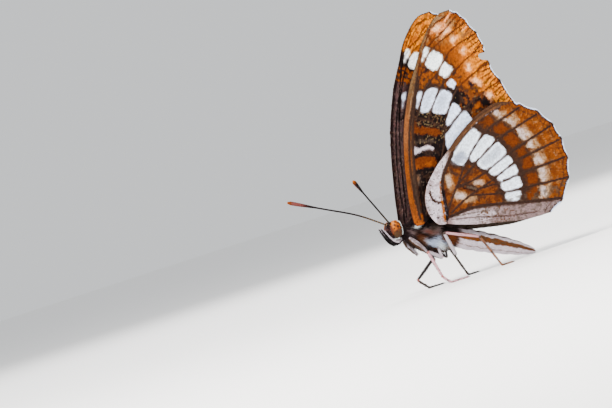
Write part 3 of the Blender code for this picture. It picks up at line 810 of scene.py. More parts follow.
def forewing_underside(wing: WingCanvas) -> None:
    """Paints the forewing's underside: the face that shows when the wings are shut.

    Args:
        wing: The places on it.
    """
    x, z, reach = wing.x, wing.z, wing.reach
    wing.lay(1.0, Dye.AMBER)
    wing.mottle(Dye.RUST, 0.8, 0.5, 2.0, cut=0.2)
    wing.mottle(Dye.CHESTNUT, 0.7, 0.6, 1.0, cut=0.45)

    # The outer third, gold with dark streaks, and the mottled tip.
    outer = ramp(5.8, 3.6, wing.from_margin)
    low = ramp(26.5, 23.5, z)
    wing.lay(outer * 0.9, Dye.AMBER)
    wing.lay(outer * low * ramp(6.0, 3.0, wing.from_margin), Dye.ORANGE)
    wing.mottle(Dye.GOLD, 0.85, 0.4, 2.5, ramp(3.6, 2.4, wing.from_margin) * low, -0.2)
    wing.mottle(Dye.RUST, 0.5, 0.45, 3.0, outer, 0.5)
    wander = 1.5 * clouds(x, z, 1.6, 5.0)
    streaks = np.cos(wing.margin_place * 2 * np.pi / 0.56 + wander)
    fade = ramp(3.3, 0.8, wing.from_margin) * ramp(28.5, 25.5, z)
    wing.lay(ramp(0.3, 0.8, streaks) * fade * 0.9, Dye.CHESTNUT)
    apex = ramp(22.5, 24.5, z) * ramp(0.6, 1.4, wing.from_margin)
    wing.mottle(Dye.CHESTNUT, 0.7, 0.6, 4.0, apex, 0.35)
    wing.mottle(Dye.CREAM, 0.6, 0.5, 4.6, apex, 0.15)

    # The dark ground of the band and of the spots near the tip.
    for cell in FOREWING_BAND:
        wing.cell(cell, Dye.UMBER, -0.45, 0.35, 0.25)
    for cell in SUBAPICAL:
        wing.cell(cell, Dye.UMBER, -0.1, 0.3, 0.25, share=0.75)
    between = ramp(20.0, 20.8, reach) * ramp(23.2, 22.3, reach) * (x < 9.5)
    wing.mottle(Dye.AMBER, 0.7, 0.4, 6.0, between, 0.1)
    wing.mottle(Dye.UMBER, 0.8, 0.45, 7.0, ramp(19.5, 20.2, reach) * ramp(25, 23, reach), 0.35)

    # The dark inner field.
    wing.area([
        (-0.8, -0.8), (-0.2, 1.4), (0.35, 4.6), (1.6, 9.5), (2.9, 13.2), (3.75, 15.6), (5.2, 15),
        (8.4, 14.3), (9.8, 12.2), (13.5, 9.5), (14.5, 7), (2.6, -0.2),
    ], Dye.INK, 0.25, 0.15)
    wing.mottle(Dye.UMBER, 0.8, 0.5, 8.0, ramp(14.0, 11.0, reach) * (x > 0.3), 0.35)
    speckled = ramp(12.3, 13.2, reach) * ramp(16.6, 15.9, reach) * (x < 8.8)
    wing.scatter(speckled, 0.18, Dye.SAND)
    wing.scatter(speckled, 0.14, Dye.BARK)
    wing.scatter(ramp(12.0, 8.0, reach) * (x > 1.0) * (x < 6), 0.07, Dye.ASH)
    wing.stroke([(0.2, 1.2), (0.8, 3.5), (1.5, 6.2)], 0.12, Dye.ASH, 0.2, share=0.45)

    # The dusky hind corner.
    dusk = [
        (10.2, 17.2), (11.6, 17.4), (12.6, 16.2), (14.2, 15.4), (16.2, 15), (17.6, 13.4),
        (17.4, 12.2), (13.5, 11.4), (10.4, 12.6), (9.8, 15.2),
    ]
    inside = within(x, z, dusk)
    wing.area(dusk, Dye.UMBER, 0.45, 0.45)
    wing.mottle(Dye.INK, 0.9, 0.6, 9.0, inside, 0.0)
    wing.mottle(Dye.RUST, 0.9, 0.45, 10.0, inside * (x > 11.5), 0.1)
    corner = [(10.2, 16.9), (11.3, 16), (11.7, 14.6), (11.1, 13.2), (10.2, 15.2)]
    wing.area(corner, Dye.INK, 0.3, 0.3)
    wing.scatter(inside, 0.05, Dye.SAND)
    for spot in (
        ((15.7, 13.6), (1.2, 0.55), -15, Dye.INK, 0.35, 0.3),
        ((14.4, 13.35), (0.55, 0.4), 20, Dye.AMBER, 0.25, 0.15),
        ((15, 15.75), (1, 0.3), -12, Dye.UMBER, 0.25, 0.15, 0.8),
        ((14.3, 16.6), (0.5, 0.35), -60, Dye.PLUM, 0.2, 0.1),
        ((7.6, 20.5), (0.45, 0.3), 40, Dye.PLUM, 0.2, 0.1),
        ((11.3, 19), (0.9, 0.3), 40, Dye.UMBER, 0.3, 0.2, 0.6),
    ):
        wing.blot(*spot)

    # The bars of the inner field.
    patch = [(2.3, 12.5), (2.7, 14.1), (3.4, 14.2), (3.6, 12.9), (3, 12.2)]
    wing.area(patch, Dye.CHESTNUT, 0.25)
    bar_b = [(2.4, 12.5), (3, 13), (4.5, 12.85), (5.8, 12.3), (6.9, 11.75), (6.95, 11)]
    wing.area(bar_b + [(6, 11), (4.6, 11.55), (3.2, 12)], Dye.BRICK, 0.16, 0.16)
    bar_a = [(0.75, 8.2), (1.2, 8.6), (2.9, 8.7), (3.6, 8.45), (4.75, 8.1), (4.95, 7.5), (4.5, 7)]
    wing.area(bar_a + [(4, 6.85), (2.9, 7.1), (1, 7.15), (0.55, 7.4)], Dye.BRICK, 0.16, 0.16)
    wing.mottle(Dye.AMBER, 0.6, 0.4, 12.0, within(x, z, bar_a + [(1, 7.15)]), 0.1)
    wing.stroke([(2.4, 10.95), (3.6, 10.9), (5.4, 10.35)], 0.3, Dye.ASH, 0.25, 0.25, 0.7)
    wing.scatter(ramp(0.5, 0.2, np.abs(z + 0.2 * x - 11.6)) * (x > 2) * (x < 6), 0.25, Dye.SAND)
    white_bar = [(1.5, 9.3), (1.65, 10.15), (2.05, 10.35), (2.7, 10.05), (4, 10.12), (4.75, 9.85)]
    white_bar += [(5.1, 9.45), (4.85, 9.2), (4.1, 9.5), (3.1, 9.6), (2.3, 9.3)]
    wing.area(white_bar, Dye.LILAC, 0.12, 0.08)
    wing.blot((0.95, 5.6), (0.75, 0.32), 68, Dye.ASH, 0.2, 0.1)
    wing.blot((0.95, 5.8), (0.4, 0.18), 68, Dye.SALMON, 0.2, 0.05, 0.7)

    # The leading edge and the flap along it.
    radius, subcosta = wing.shape.lines["radius"], wing.shape.lines["subcosta"]
    ahead = curve_through(wing.shape.costa, 0.5)
    strip = np.vstack([ahead[ahead[:, 1] < 27.6], radius[::-1]])
    wing.area(strip, Dye.BARK, 0.1, 0.03)
    inside = within(x, z, strip)
    wing.mottle(Dye.RUST, 0.8, 0.7, 12.5, inside, -0.2)
    wing.lay(ramp(0.32, 0.1, distance(x, z, radius)) * (z < 21), Dye.UMBER)
    grey = ramp(8.5, 5.0, z) * ramp(0.75, 0.45, distance(x, z, radius))
    wing.lay(grey * inside, Dye.ASH)
    wing.lay(grey * inside * 0.75, Dye.UMBER)
    lines = np.cos(distance(x, z, radius) * 2 * np.pi / 0.42)
    wing.lay(ramp(0.3, 0.9, lines) * inside * ramp(8.0, 12.0, z) * 0.4, Dye.UMBER)
    flap = np.vstack([ahead[ahead[:, 1] < 18.5], subcosta[::-1]])
    flap_mask = within(x, z, flap) * ramp(0.0, 0.2, distance(x, z, subcosta))
    wing.lay(flap_mask, Dye.RUST)
    wing.mottle(Dye.AMBER, 0.6, 0.8, 13.0, flap_mask)
    wing.lay(flap_mask * ramp(8.5, 12.0, z) * 0.75, Dye.SALMON)
    wing.lay(flap_mask * ramp(14.0, 17.5, z) * 0.7, Dye.BARK)
    wing.lay(ramp(0.24, 0.08, distance(x, z, subcosta)) * (z > 8) * 0.8, Dye.ASH)
    wing.stroke([(2.6, 14.6), (3.6, 16.7), (4.4, 18)], 0.1, Dye.CREAM, 0.15, share=0.7)
    # Painted highlight along the top of the leading edge: a faint salmon line inside it, and a pale
    # sand rim on it.
    painted_highlight_line = [(5, 19.8), (7.2, 23), (9.4, 25.6), (12, 27.2)]
    wing.stroke(painted_highlight_line, 0.2, Dye.SALMON, 0.2, share=0.4)
    rim = ramp(0.34, 0.2, distance(x, z, ahead)) * ramp(17.0, 19.0, z)
    wing.lay(inside * ramp(16.0, 19.0, z) * 0.45, Dye.SAND)
    wing.lay(inside * ramp(23.5, 25.5, z) * 0.6, Dye.CREAM)
    # The pale sand rim is painted highlight.
    wing.lay(rim * 0.8, Dye.SAND)
    wing.lay(ramp(0.12, 0.04, distance(x, z, ahead)) * 0.7, Dye.UMBER)

    # The peach spots along the margin.
    for centre, half, turn in (
        ((11.2, 25.8), (1, 0.42), 22), ((12.5, 25.05), (0.95, 0.45), 28),
        ((13.3, 23.5), (0.85, 0.65), 10), ((14.5, 21.6), (0.6, 0.65), 20),
        ((14.7, 19.1), (0.75, 0.55), 60), ((15.3, 16.7), (0.85, 0.45), -45),
        ((16.8, 14.2), (0.9, 0.45), -62),
    ):
        wing.blot(centre, half, turn, Dye.PEACH, 0.35, 0.3, 0.92)
        wing.blot(centre, (half[0] * 0.5, half[1] * 0.5), turn, Dye.MILK, 0.25, 0.15, 0.3)
    wing.stroke([(15, 23.5), (16.9, 24.1)], 0.3, Dye.SALMON, 0.2, share=0.7)
    wing.stroke([(15.3, 24.4), (16.9, 25)], 0.1, Dye.PEACH, 0.1)
    wing.stroke([(12.8, 26.4), (14.2, 27.3)], 0.12, Dye.PEACH, 0.12)

    # The veins, then the white band over them.
    beyond = ramp(20.5, 22.0, reach)
    wing.veins(0.11, Dye.CHESTNUT, beyond)
    wing.veins(0.17, Dye.UMBER, 1 - beyond)
    for k, cell in enumerate(FOREWING_BAND):
        wing.cell(cell, Dye.CHALK, 0.15, 0.12, 0.07)
        if k in (1, 2):
            wing.cell(cell, Dye.SLATE, 0.5, 0.35, 0.1, share=0.35)
    for cell in SUBAPICAL:
        wing.cell(cell, Dye.MILK, 0.15, 0.14, 0.1)
    step = [(10.3, 17.7), (11, 18.25), (11.55, 18.1), (11.8, 17.3), (11.2, 16.7), (10.8, 17)]
    wing.area(step, Dye.CHALK, 0.12, 0.1)
    wing.edge(0.13, Dye.PLUM, share=0.9)


def forewing_upperside(wing: WingCanvas) -> None:
    """Paints the forewing's upper side: dark, with the white band and an orange tip.

    Args:
        wing: The places on it.
    """
    x, z, reach = wing.x, wing.z, wing.reach
    wing.lay(1.0, Dye.PLUM)
    wing.mottle(Dye.INK, 0.9, 1.0, 21.0, cut=-0.2)
    wing.scatter(ramp(24.0, 2.0, reach), 0.18, Dye.UMBER)
    wing.scatter(ramp(24.0, 10.0, reach), 0.1, Dye.ASH)
    near_edge = distance(x, z, curve_through(wing.shape.costa, 0.5))
    # A painted purple sheen near the leading edge: mauve with rose mottles over the dark ground.
    painted_sheen = ramp(0.2, 0.6, near_edge) * ramp(2.8, 1.6, near_edge) * ramp(23.0, 19.0, reach)
    wing.lay(painted_sheen * (0.46 + 0.15 * clouds(x, z, 0.4, 26.0)), Dye.MAUVE)
    wing.mottle(Dye.ROSE, 0.15, 0.35, 27.0, painted_sheen, 0.1)
    streaks = np.cos(near_edge * 2 * np.pi / 0.9 + clouds(x, z, 2.5, 22.0))
    wing.lay(ramp(0.5, 0.95, streaks) * ramp(3.6, 1.5, near_edge) * 0.3, Dye.ASH)
    patch = ramp(19.6, 20.4, reach) * ramp(22.9, 22.4, reach) * (near_edge < 3.2)
    wing.mottle(Dye.AMBER, 0.9, 0.4, 25.0, patch, -0.1)
    tip = ramp(24.2, 25.2, reach + 0.5 * clouds(x, z, 0.7, 9.0))
    tip = tip * ramp(15.5, 18.5, z + 0.2 * x)
    wing.lay(tip, Dye.GOLD)
    wing.mottle(Dye.ORANGE, 0.9, 0.5, 23.0, tip, -0.1)
    wing.lay(ramp(0.6, 0.95, streaks) * tip * 0.6, Dye.CHESTNUT)
    wing.mottle(Dye.RUST, 0.7, 0.4, 24.0, tip * ramp(1.6, 0.5, wing.from_margin), 0.0)
    wing.blot((4.2, 9.6), (1.3, 0.35), -5, Dye.LILAC, 0.2, 0.15, 0.8)
    wing.veins(0.1, Dye.INK, 1 - tip)
    wing.veins(0.08, Dye.CHESTNUT, tip * 0.8)
    wing.lay(ramp(0.24, 0.12, near_edge), Dye.PLUM)
    for cell in FOREWING_BAND:
        wing.cell(cell, Dye.CHALK, 0.2, 0.12, 0.08)
    for cell in SUBAPICAL[:2]:
        wing.cell(cell, Dye.MILK, 0.15, 0.12, 0.08)
    wing.edge(0.15, Dye.PLUM, share=0.8)


def hindwing_underside(wing: WingCanvas) -> None:
    """Paints the hindwing's underside.

    Args:
        wing: The places on it.
    """
    x, z, reach = wing.x, wing.z, wing.reach
    wing.lay(1.0, Dye.CHESTNUT)
    wing.mottle(Dye.RUST, 0.9, 0.6, 31.0, cut=-0.1)
    wing.mottle(Dye.UMBER, 0.6, 0.6, 32.0, cut=0.5)

    # Beyond the band: brown, rusty at the rim, with a row of marks in each cell.
    outer = ramp(15.2, 16.0, reach)
    wing.lay(outer, Dye.BARK)
    wing.mottle(Dye.CHESTNUT, 0.9, 0.5, 33.0, outer, 0.0)
    rim = ramp(3.4, 2.0, wing.from_margin)
    wing.lay(rim * 0.9, Dye.RUST)
    wing.mottle(Dye.AMBER, 0.8, 0.5, 34.0, rim, 0.0)
    wing.mottle(Dye.CREAM, 0.6, 0.5, 34.5, rim * ramp(0.7, 1.5, wing.from_margin), 0.45)
    wander = 1.5 * clouds(x, z, 1.6, 15.0)
    streaks = np.cos(wing.margin_place * 2 * np.pi / 0.7 + wander)
    wing.lay(ramp(0.4, 0.9, streaks) * ramp(2.8, 0.6, wing.from_margin) * 0.7, Dye.CHESTNUT)
    for cell in HINDWING_BAND:
        for start, end, *look in (
            (-0.6, 1.0, Dye.UMBER, 0.0, 0.35, 0.25), (0.5, 3.1, Dye.UMBER, -0.05, 0.25, 0.25),
            (0.6, 3.0, Dye.BRICK, 0.2, 0.25, 0.25), (2.9, 5.3, Dye.CREAM, 0.14, 0.25, 0.3),
            (3.0, 4.5, Dye.LILAC, 0.24, 0.3, 0.3, 0.75), (4.9, 6.4, Dye.BRICK, 0.3, 0.3, 0.3, 0.8),
        ):
            wing.cell(cell.outward(start, end), *look)
        wing.cell(cell, Dye.UMBER, -0.36, 0.25, 0.2)
    wing.mottle(Dye.RUST, 0.5, 0.4, 35.0, outer * ramp(18.0, 19.0, reach), 0.2)

    # Pale spots and dark lines near the root.
    for spot in (
        ((5.35, 4.1), (1.3, 0.6), 85, Dye.CREAM, 0.4, 0.3),
        ((5.3, 4.2), (0.8, 0.3), 85, Dye.LILAC, 0.3, 0.2, 0.35),
        ((6.75, 1.45), (1.35, 0.8), -18, Dye.CREAM, 0.35, 0.3),
        ((8, 0.85), (0.8, 0.45), -20, Dye.CREAM, 0.3, 0.3, 0.8),
        ((6.3, 1.6), (0.7, 0.4), -20, Dye.LILAC, 0.3, 0.2, 0.7),
        ((10, 2.6), (0.9, 0.5), -25, Dye.CREAM, 0.35, 0.3, 0.85),
        ((9.9, 2.7), (0.5, 0.3), -25, Dye.LILAC, 0.3, 0.2, 0.5),
    ):
        wing.blot(*spot)
    for line in (
        ([(6.3, 3), (7.5, 2.95), (8.6, 2.6), (9.5, 1.9)], 0.2, Dye.UMBER, 0.12, 0.08),
        ([(7.3, 2.6), (8.3, 2.2), (9.2, 1.5)], 0.16, Dye.INK, 0.12, 0.08, 0.8),
        ([(7.9, 2.55), (8.6, 2.3), (9.2, 1.95)], 0.16, Dye.ASH, 0.15),
        ([(5.6, 7.4), (6.3, 6.6), (7, 6.1), (7.5, 5.9)], 0.25, Dye.UMBER, 0.25, 0.2),
        ([(6.1, 6.2), (6.3, 5.2), (7, 4.7)], 0.22, Dye.UMBER, 0.2, 0.15, 0.85),
        ([(8.5, 5.4), (9.3, 4.9), (10, 4.4)], 0.2, Dye.UMBER, 0.25, 0.2, 0.6),
    ):
        wing.stroke(*line)

    # The veins and the white band.
    wing.veins(0.16, Dye.UMBER)
    for k, cell in enumerate(HINDWING_BAND):
        wing.cell(cell, Dye.CHALK, 0.14, 0.12, 0.07)
        wing.cell(cell, Dye.MILK, 0.2, 0.2, 0.07, share=0.6)
        wing.cell(cell, Dye.SLATE, 0.45, 0.35, 0.1, share=0.2 if k != 2 else 0.5)
    # Painted shade: slate grey over the inner end of the band's front white patch.
    wing.blot((8.2, 6.9), (1.25, 0.8), 20, Dye.SLATE, 0.4, 0.2, 0.75 * (reach > 8))

    # The front edge.
    front = wing.shape.lines["subcosta_radius"]
    ahead = curve_through(wing.shape.costa, 0.4)
    bulge = np.vstack([ahead, front[::-1]])
    inside = within(x, z, bulge)
    wing.area(bulge, Dye.LILAC, 0.08, 0.02)
    wing.mottle(Dye.MAUVE, 0.5, 0.6, 36.0, inside, 0.25)
    wing.scatter(inside, 0.05, Dye.ASH)
    brown = inside * ramp(5.6, 7.6, x)
    wing.lay(brown, Dye.BARK)
    bands = np.cos(distance(x, z, front) * 2 * np.pi / 0.5)
    wing.lay(brown * ramp(0.2, 0.9, bands) * 0.7, Dye.UMBER)
    wing.mottle(Dye.SALMON, 0.6, 0.5, 37.0, brown * ramp(0.2, 0.9, -bands), 0.1)
    wing.stroke([(3.5, 1.5), (2.4, 1.75), (1.72, 2.4), (1.6, 3.4)], 0.2, Dye.UMBER, 0.08)
    wing.blot((1.7, -0.35), (0.18, 0.12), 10, Dye.PLUM, 0.06, 0.02)
    wing.blot((2.5, -0.45), (0.35, 0.25), 60, Dye.ROSE, 0.2, 0.05, 0.5)
    wing.stroke([(2.75, -0.9), (2.9, 0.6), (3.1, 1.7)], 0.18, Dye.AMBER, 0.12)
    wing.stroke([(3.15, 2), (3.4, 3.4), (3.85, 4.6)], 0.08, Dye.AMBER, 0.1)
    wing.lay(ramp(0.36, 0.2, distance(x, z, front)) * (x < 7.5), Dye.UMBER)
    wing.stroke([(3.25, -1.2), (3.4, 0.6), (3.6, 2.1), (3.8, 3)], 0.26, Dye.INK, 0.12)
    # A painted highlight: a thin slate line down the middle of the dark stroke.
    wing.stroke([(3.3, -0.6), (3.45, 1), (3.6, 2.2)], 0.05, Dye.SLATE, 0.1, share=0.5)
    wing.lay(ramp(0.14, 0.04, distance(x, z, ahead)) * (x > 5) * 0.8, Dye.UMBER)

    # The fold along the body.
    fold_line = [(3.9, -0.75), (7.7, -0.55), (12, -1.2), (17, -2.25), (23, -3.3)]
    fold = fold_line + [(20, -6), (3, -4), (3, -1.2)]
    wing.area(fold, Dye.MAUVE, 0.15, 0.1)
    pale = [(4.2, -0.9), (8.8, -0.9), (12, -2), (9, -3.4), (4.2, -2.6)]
    wing.area(pale, Dye.LILAC, 0.5, 0.3, 0.7)
    wing.mottle(Dye.ASH, 0.6, 0.5, 38.0, ramp(6.0, 10.0, x) * (z < -0.9), 0.2)
    wing.scatter(ramp(6.5, 9.5, x) * (z < -0.9) * ramp(16, 12, x), 0.2, Dye.BARK)
    for line in (
        (fold_line, 0.22, Dye.UMBER, 0.12),
        (wing.shape.veins["anal_3"], 0.09, Dye.UMBER, 0.1, 0.04, 0.7),
        ([(4.6, -0.9), (8, -1.3), (10, -1.6)], 0.06, Dye.ASH, 0.1),
    ):
        wing.stroke(*line)
    wing.edge(0.16, Dye.PLUM)
    wing.lay(ramp(0.16, 0.04, np.abs(wing.from_margin - 0.8)) * 0.6, Dye.UMBER)


def hindwing_upperside(wing: WingCanvas) -> None:
    """Paints the hindwing's upper side: dark, with the white band and a few red marks.

    Args:
        wing: The places on it.
    """
    wing.lay(1.0, Dye.PLUM)
    wing.mottle(Dye.INK, 0.9, 1.0, 41.0, cut=-0.2)
    fold = [(4, -1), (8, -0.8), (17, -2.4), (22.5, -3.2), (20, -6), (3, -4)]
    wing.area(fold, Dye.ASH, 0.4)
    wing.scatter(1.0, 0.15, Dye.UMBER)
    wing.veins(0.1, Dye.INK)
    for cell in HINDWING_BAND:
        wing.cell(cell, Dye.CHALK, 0.18, 0.12, 0.08)
        wing.cell(cell.outward(5.6, 6.6), Dye.BRICK, 0.2, 0.2, 0.15, share=0.8)
    wing.edge(0.25, Dye.PLUM)


@dataclass
class Sheetwork:
    """The points, faces, colours and bake places of one mesh, in drawing millimetres.

    Attributes:
        faces: The corners of each face, as numbers of points.
        colours: The linear colour at each point.
        flat: The place on the bake map of each corner of each face, in the faces' order.
        rims: The ends of each sharp edge, as numbers of points.
    """

    points: Array
    faces: list[tuple[int, ...]]
    colours: Array
    flat: Array
    rims: Array = field(default_factory=lambda: np.zeros((0, 2), int))

    def joined(self, other: "Sheetwork") -> "Sheetwork":
        """This mesh and another as one.

        Args:
            other: The other mesh.

        Returns:
            The new mesh.
        """
        count = len(self.points)
        return Sheetwork(
            np.vstack([self.points, other.points]),
            self.faces + [tuple(k + count for k in face) for face in other.faces],
            np.vstack([self.colours, other.colours]),
            np.vstack([self.flat, other.flat]),
            np.vstack([self.rims, other.rims + count]),
        )

    def above(self, floor: float) -> "Sheetwork":
        """This mesh, with what would pass a floor laid flat on it."""
        return replace(self, points=np.maximum(self.points, (-np.inf, -np.inf, floor)))

    def _sharpen(self, mesh: bpy.types.Mesh) -> None:
        """Marks the sharp edges, so that a scale's two faces shade apart.

        Args:
            mesh: The mesh made from this one.
        """
        ends = np.zeros(len(mesh.edges) * 2, int)
        mesh.edges.foreach_get("vertices", ends)
        code = (len(self.points), 1)
        known, rims = (np.sort(pairs.reshape(-1, 2), axis=1) @ code for pairs in (ends, self.rims))
        marks = mesh.attributes.new("sharp_edge", "BOOLEAN", "EDGE")
        marks.data.foreach_set("value", np.isin(known, rims))

    def build(self, name: str, material: Material, slot: str, *nodes: str) -> None:
        """Makes the piece, which rides on the one body.

        Args:
            name, material: The piece's name, and its finish.
            slot, *nodes: The record's slot, which is not used, and the frame's nodes that it stands
                for.
        """
        mesh = bpy.data.meshes.new(name)
        mesh.from_pydata(placed(self.points).tolist(), [], self.faces)
        paint = mesh.color_attributes.new(name=PIGMENT, type="FLOAT_COLOR", domain="POINT")
        opaque = np.hstack([self.colours, np.ones((len(self.colours), 1))])
        paint.data.foreach_set("color", opaque.astype(np.float32).ravel())
        flat = mesh.uv_layers.new(name=BAKE_MAP)
        flat.data.foreach_set("uv", np.clip(self.flat, 0, 1).astype(np.float32).ravel())
        mesh.polygons.foreach_set("use_smooth", np.ones(len(self.faces), bool))
        if len(self.rims):
            self._sharpen(mesh)
        mesh.materials.append(material)
        made = put(name, mesh)
        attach(made, "root")
        if nodes:
            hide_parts(*nodes)
        LOG.info("%s: %d faces", name, len(self.faces))


def together(meshes: Iterable[Sheetwork]) -> Sheetwork:
    """Several meshes as one."""
    return reduce(Sheetwork.joined, meshes)


@dataclass(frozen=True)
class Tufts:
    """Many small solid spikes or scales standing on a skin."""

    roots: Array
    normals: Array
    lies: Array
    lengths: Array
    half_widths: Array
    colours: Array
    flat: Array

    SPIKE_FACES = (
        (0, 2, 1), (0, 1, 4, 3), (1, 2, 5, 4), (2, 0, 3, 5), (3, 4, 6), (4, 5, 6), (5, 3, 6)
    )
    SHIELD_FACES = (
        (0, 1, 5), (1, 2, 5), (2, 3, 5), (3, 4, 5), (4, 0, 5), (0, 4, 3), (0, 3, 2), (0, 2, 1)
    )
    SHIELD_RIM = ((0, 1), (1, 2), (2, 3), (3, 4), (4, 0))
    SHIELD = (
        (0.0, 0.0, -0.1), (0.45, -1.0, 0.08), (1.0, -0.5, 0.18), (1.0, 0.5, 0.18),
        (0.45, 1.0, 0.08), (0.6, 0.0, 0.22),
    )
    SHIELD_TOP = 0.24

    def sized(
        self, random: Random, length: Mask, least: float, most: float, half_width: Mask
    ) -> "Tufts":
        """These tufts with lengths that vary.

        Args:
            random: What draws the lengths.
            length, least, most: The middle length, and the least and largest share of it.
            half_width: Half of their width.

        Returns:
            The new tufts.
        """
        lengths = length * random.uniform(least, most, len(self.roots))
        return replace(self, lengths=lengths, half_widths=np.full(len(lengths), half_width))

    def spikes(self, lift: float, droop: float = 0.35) -> Sheetwork:
        """Hairs: three-sided, bent and pointed.

        Args:
            lift: How far the tip stands off the skin, as a share of the length.
            droop: How much further the middle stands out than a straight hair's would.

        Returns:
            The mesh of them all.
        """
        width, length = self.half_widths[:, None], self.lengths[:, None]
        side, out = np.cross(self.lies, self.normals) * width, self.normals * width
        reach, rise = self.lies * length, self.normals * length
        base = self.roots - rise * 0.08
        middle = self.roots + reach * 0.5 + rise * lift * (0.5 + droop)
        rows = [base + side, base - side, base + out]
        rows += [middle + side * 0.8, middle - side * 0.8, middle + out * 0.8]
        return self.gather([*rows, self.roots + reach + rise * lift], self.SPIKE_FACES)

    def shields(self) -> Sheetwork:
        """Scales: rounded plates that rise towards their tips.

        Returns:
            The mesh of them all.
        """
        length = self.lengths[:, None]
        side = np.cross(self.normals, self.lies) * self.half_widths[:, None]
        reach, rise = self.lies * length, self.normals * length
        rows = [self.roots + reach * u + side * v + rise * h for u, v, h in self.SHIELD]
        return self.gather(rows, self.SHIELD_FACES, self.SHIELD_RIM)

    def gather(
        self, rows: Sequence[Array], faces: Sequence[tuple[int, ...]],
        rim: Sequence[tuple[int, int]] = (),
    ) -> Sheetwork:
        """Joins alike pieces into one mesh.

        Args:
            rows: The first point of every piece, the second of every piece and so on.
            faces, rim: The faces of one piece, and its sharp edges.

        Returns:
            The mesh of them all.
        """
        each, count = len(rows), len(self.roots)
        points = np.stack(rows, axis=1).reshape(-1, 3)
        all_faces = [tuple(k * each + c for c in face) for k in range(count) for face in faces]
        spread = np.array([(c / each, (c * 2.4 % each) / each) for f in faces for c in f]) - 0.5
        flat = (self.flat[:, None, :] + spread[None] * TUFT_PATCH).reshape(-1, 2)
        rims = np.arange(count)[:, None, None] * each + np.array(rim, int).reshape(1, -1, 2)
        colours = np.repeat(self.colours, each, axis=0)
        return Sheetwork(points, all_faces, colours, flat, rims.reshape(-1, 2))


@dataclass
class Rings:
    """Oval rings round a line, by their half sizes and the side that is up at the first one."""

    centres: Array
    half_up: Array
    half_side: Array
    up: Point3 = (0.0, 0.0, 1.0)

    def __post_init__(self) -> None:
        """Works out how each ring lies."""
        self.tangents = unit(np.gradient(self.centres, axis=0))
        high, highs = np.asarray(self.up, float), []
        for tangent in self.tangents:
            high = high - tangent * (high @ tangent)
            high = high / np.linalg.norm(high)
            highs.append(high)
        self.highs = np.array(highs)
        self.crosses = np.cross(self.tangents, self.highs)
        self.run = run_along(self.centres)

    def facing(self, at: Array, angle: Array, way: Point3) -> Array:
        """How far places, by distance and angle, face a direction: 1 most and -1 least."""
        high, cross = (self.read(at, rows) @ way for rows in (self.highs, self.crosses))
        return (high * np.cos(angle) + cross * np.sin(angle)) / (np.hypot(high, cross) + TINY)

    def read(self, at: Array, rows: Array) -> Array:
        """Numbers or rows of them, given at the rings, read at places along the line."""
        return np.interp(at, self.run, rows) if rows.ndim == 1 else read_at(at, self.run, rows)

    def skin(self, sides: int) -> tuple[Sheetwork, Array, Array]:
        """The closed skin.

        Args:
            sides: Points to a ring.

        Returns:
            The mesh, still without colour, and for each point its place along the line and its
            angle from the top, in radians.
        """
        angles = np.arange(sides) * 2 * np.pi / sides
        up = self.highs * self.half_up[:, None]
        across = self.crosses * self.half_side[:, None]
        rings = self.centres[:, None] + up[:, None] * np.cos(angles)[None, :, None]
        rings = rings + across[:, None] * np.sin(angles)[None, :, None]
        points = np.vstack([rings.reshape(-1, 3), self.centres[:1], self.centres[-1:]])
        spans, front = len(self.centres) - 1, len(self.centres) * sides
        faces, flat = [], []
        for i, j in product(range(spans), range(sides)):
            a, b = i * sides + j, i * sides + (j + 1) % sides
            faces.append((a, b, b + sides, a + sides))
            flat += [(i, j), (i, j + 1), (i + 1, j + 1), (i + 1, j)]
        for j in range(sides):
            k = (j + 1) % sides
            faces += [(front, k, j), (front + 1, front - sides + j, front - sides + k)]
            flat += [(0, j), (0, j + 1), (0, j), (spans, j), (spans, j), (spans, j + 1)]
        made = Sheetwork(points, faces, np.ones((len(points), 3)), np.array(flat) / (spans, sides))
        place = np.append(np.repeat(self.run, sides), (0, self.run[-1]))
        return made, place, np.append(np.tile(angles, spans + 1), (0, 0))

    def tufts(
        self, count: int, random: Random, start: float, end: float
    ) -> tuple[Tufts, Array, Array]:
        """Bare tufts spread evenly over a stretch of the skin.

        Args:
            count, random: How many, and what draws their places.
            start, end: The stretch, in shares of the line.

        Returns:
            The tufts, their places along the line and their angles from the top.
        """
        fine = np.linspace(start * self.run[-1], end * self.run[-1], 300)
        share = np.cumsum(self.read(fine, self.half_up + self.half_side))
        at = np.interp(random.random(count) * share[-1], share, fine)
        angle = random.uniform(0, 2 * np.pi, count)
        tall, wide = self.read(at, self.half_up)[:, None], self.read(at, self.half_side)[:, None]
        tangent, high = self.read(at, self.tangents), self.read(at, self.highs)
        up, across = high * np.cos(angle)[:, None], np.cross(tangent, high) * np.sin(angle)[:, None]
        roots = self.read(at, self.centres) + up * tall + across * wide
        grow = self.read(at, np.gradient((self.half_up + self.half_side) / 2, self.run))
        normals = unit(unit(up / tall + across / wide) - tangent * grow[:, None])
        lies = unit(tangent - normals * np.sum(tangent * normals, axis=1)[:, None])
        flat = np.column_stack([at / self.run[-1], angle / (2 * np.pi)])
        ones = np.ones(count)
        return Tufts(roots, normals, lies, ones, ones, np.ones((count, 3)), flat), at, angle


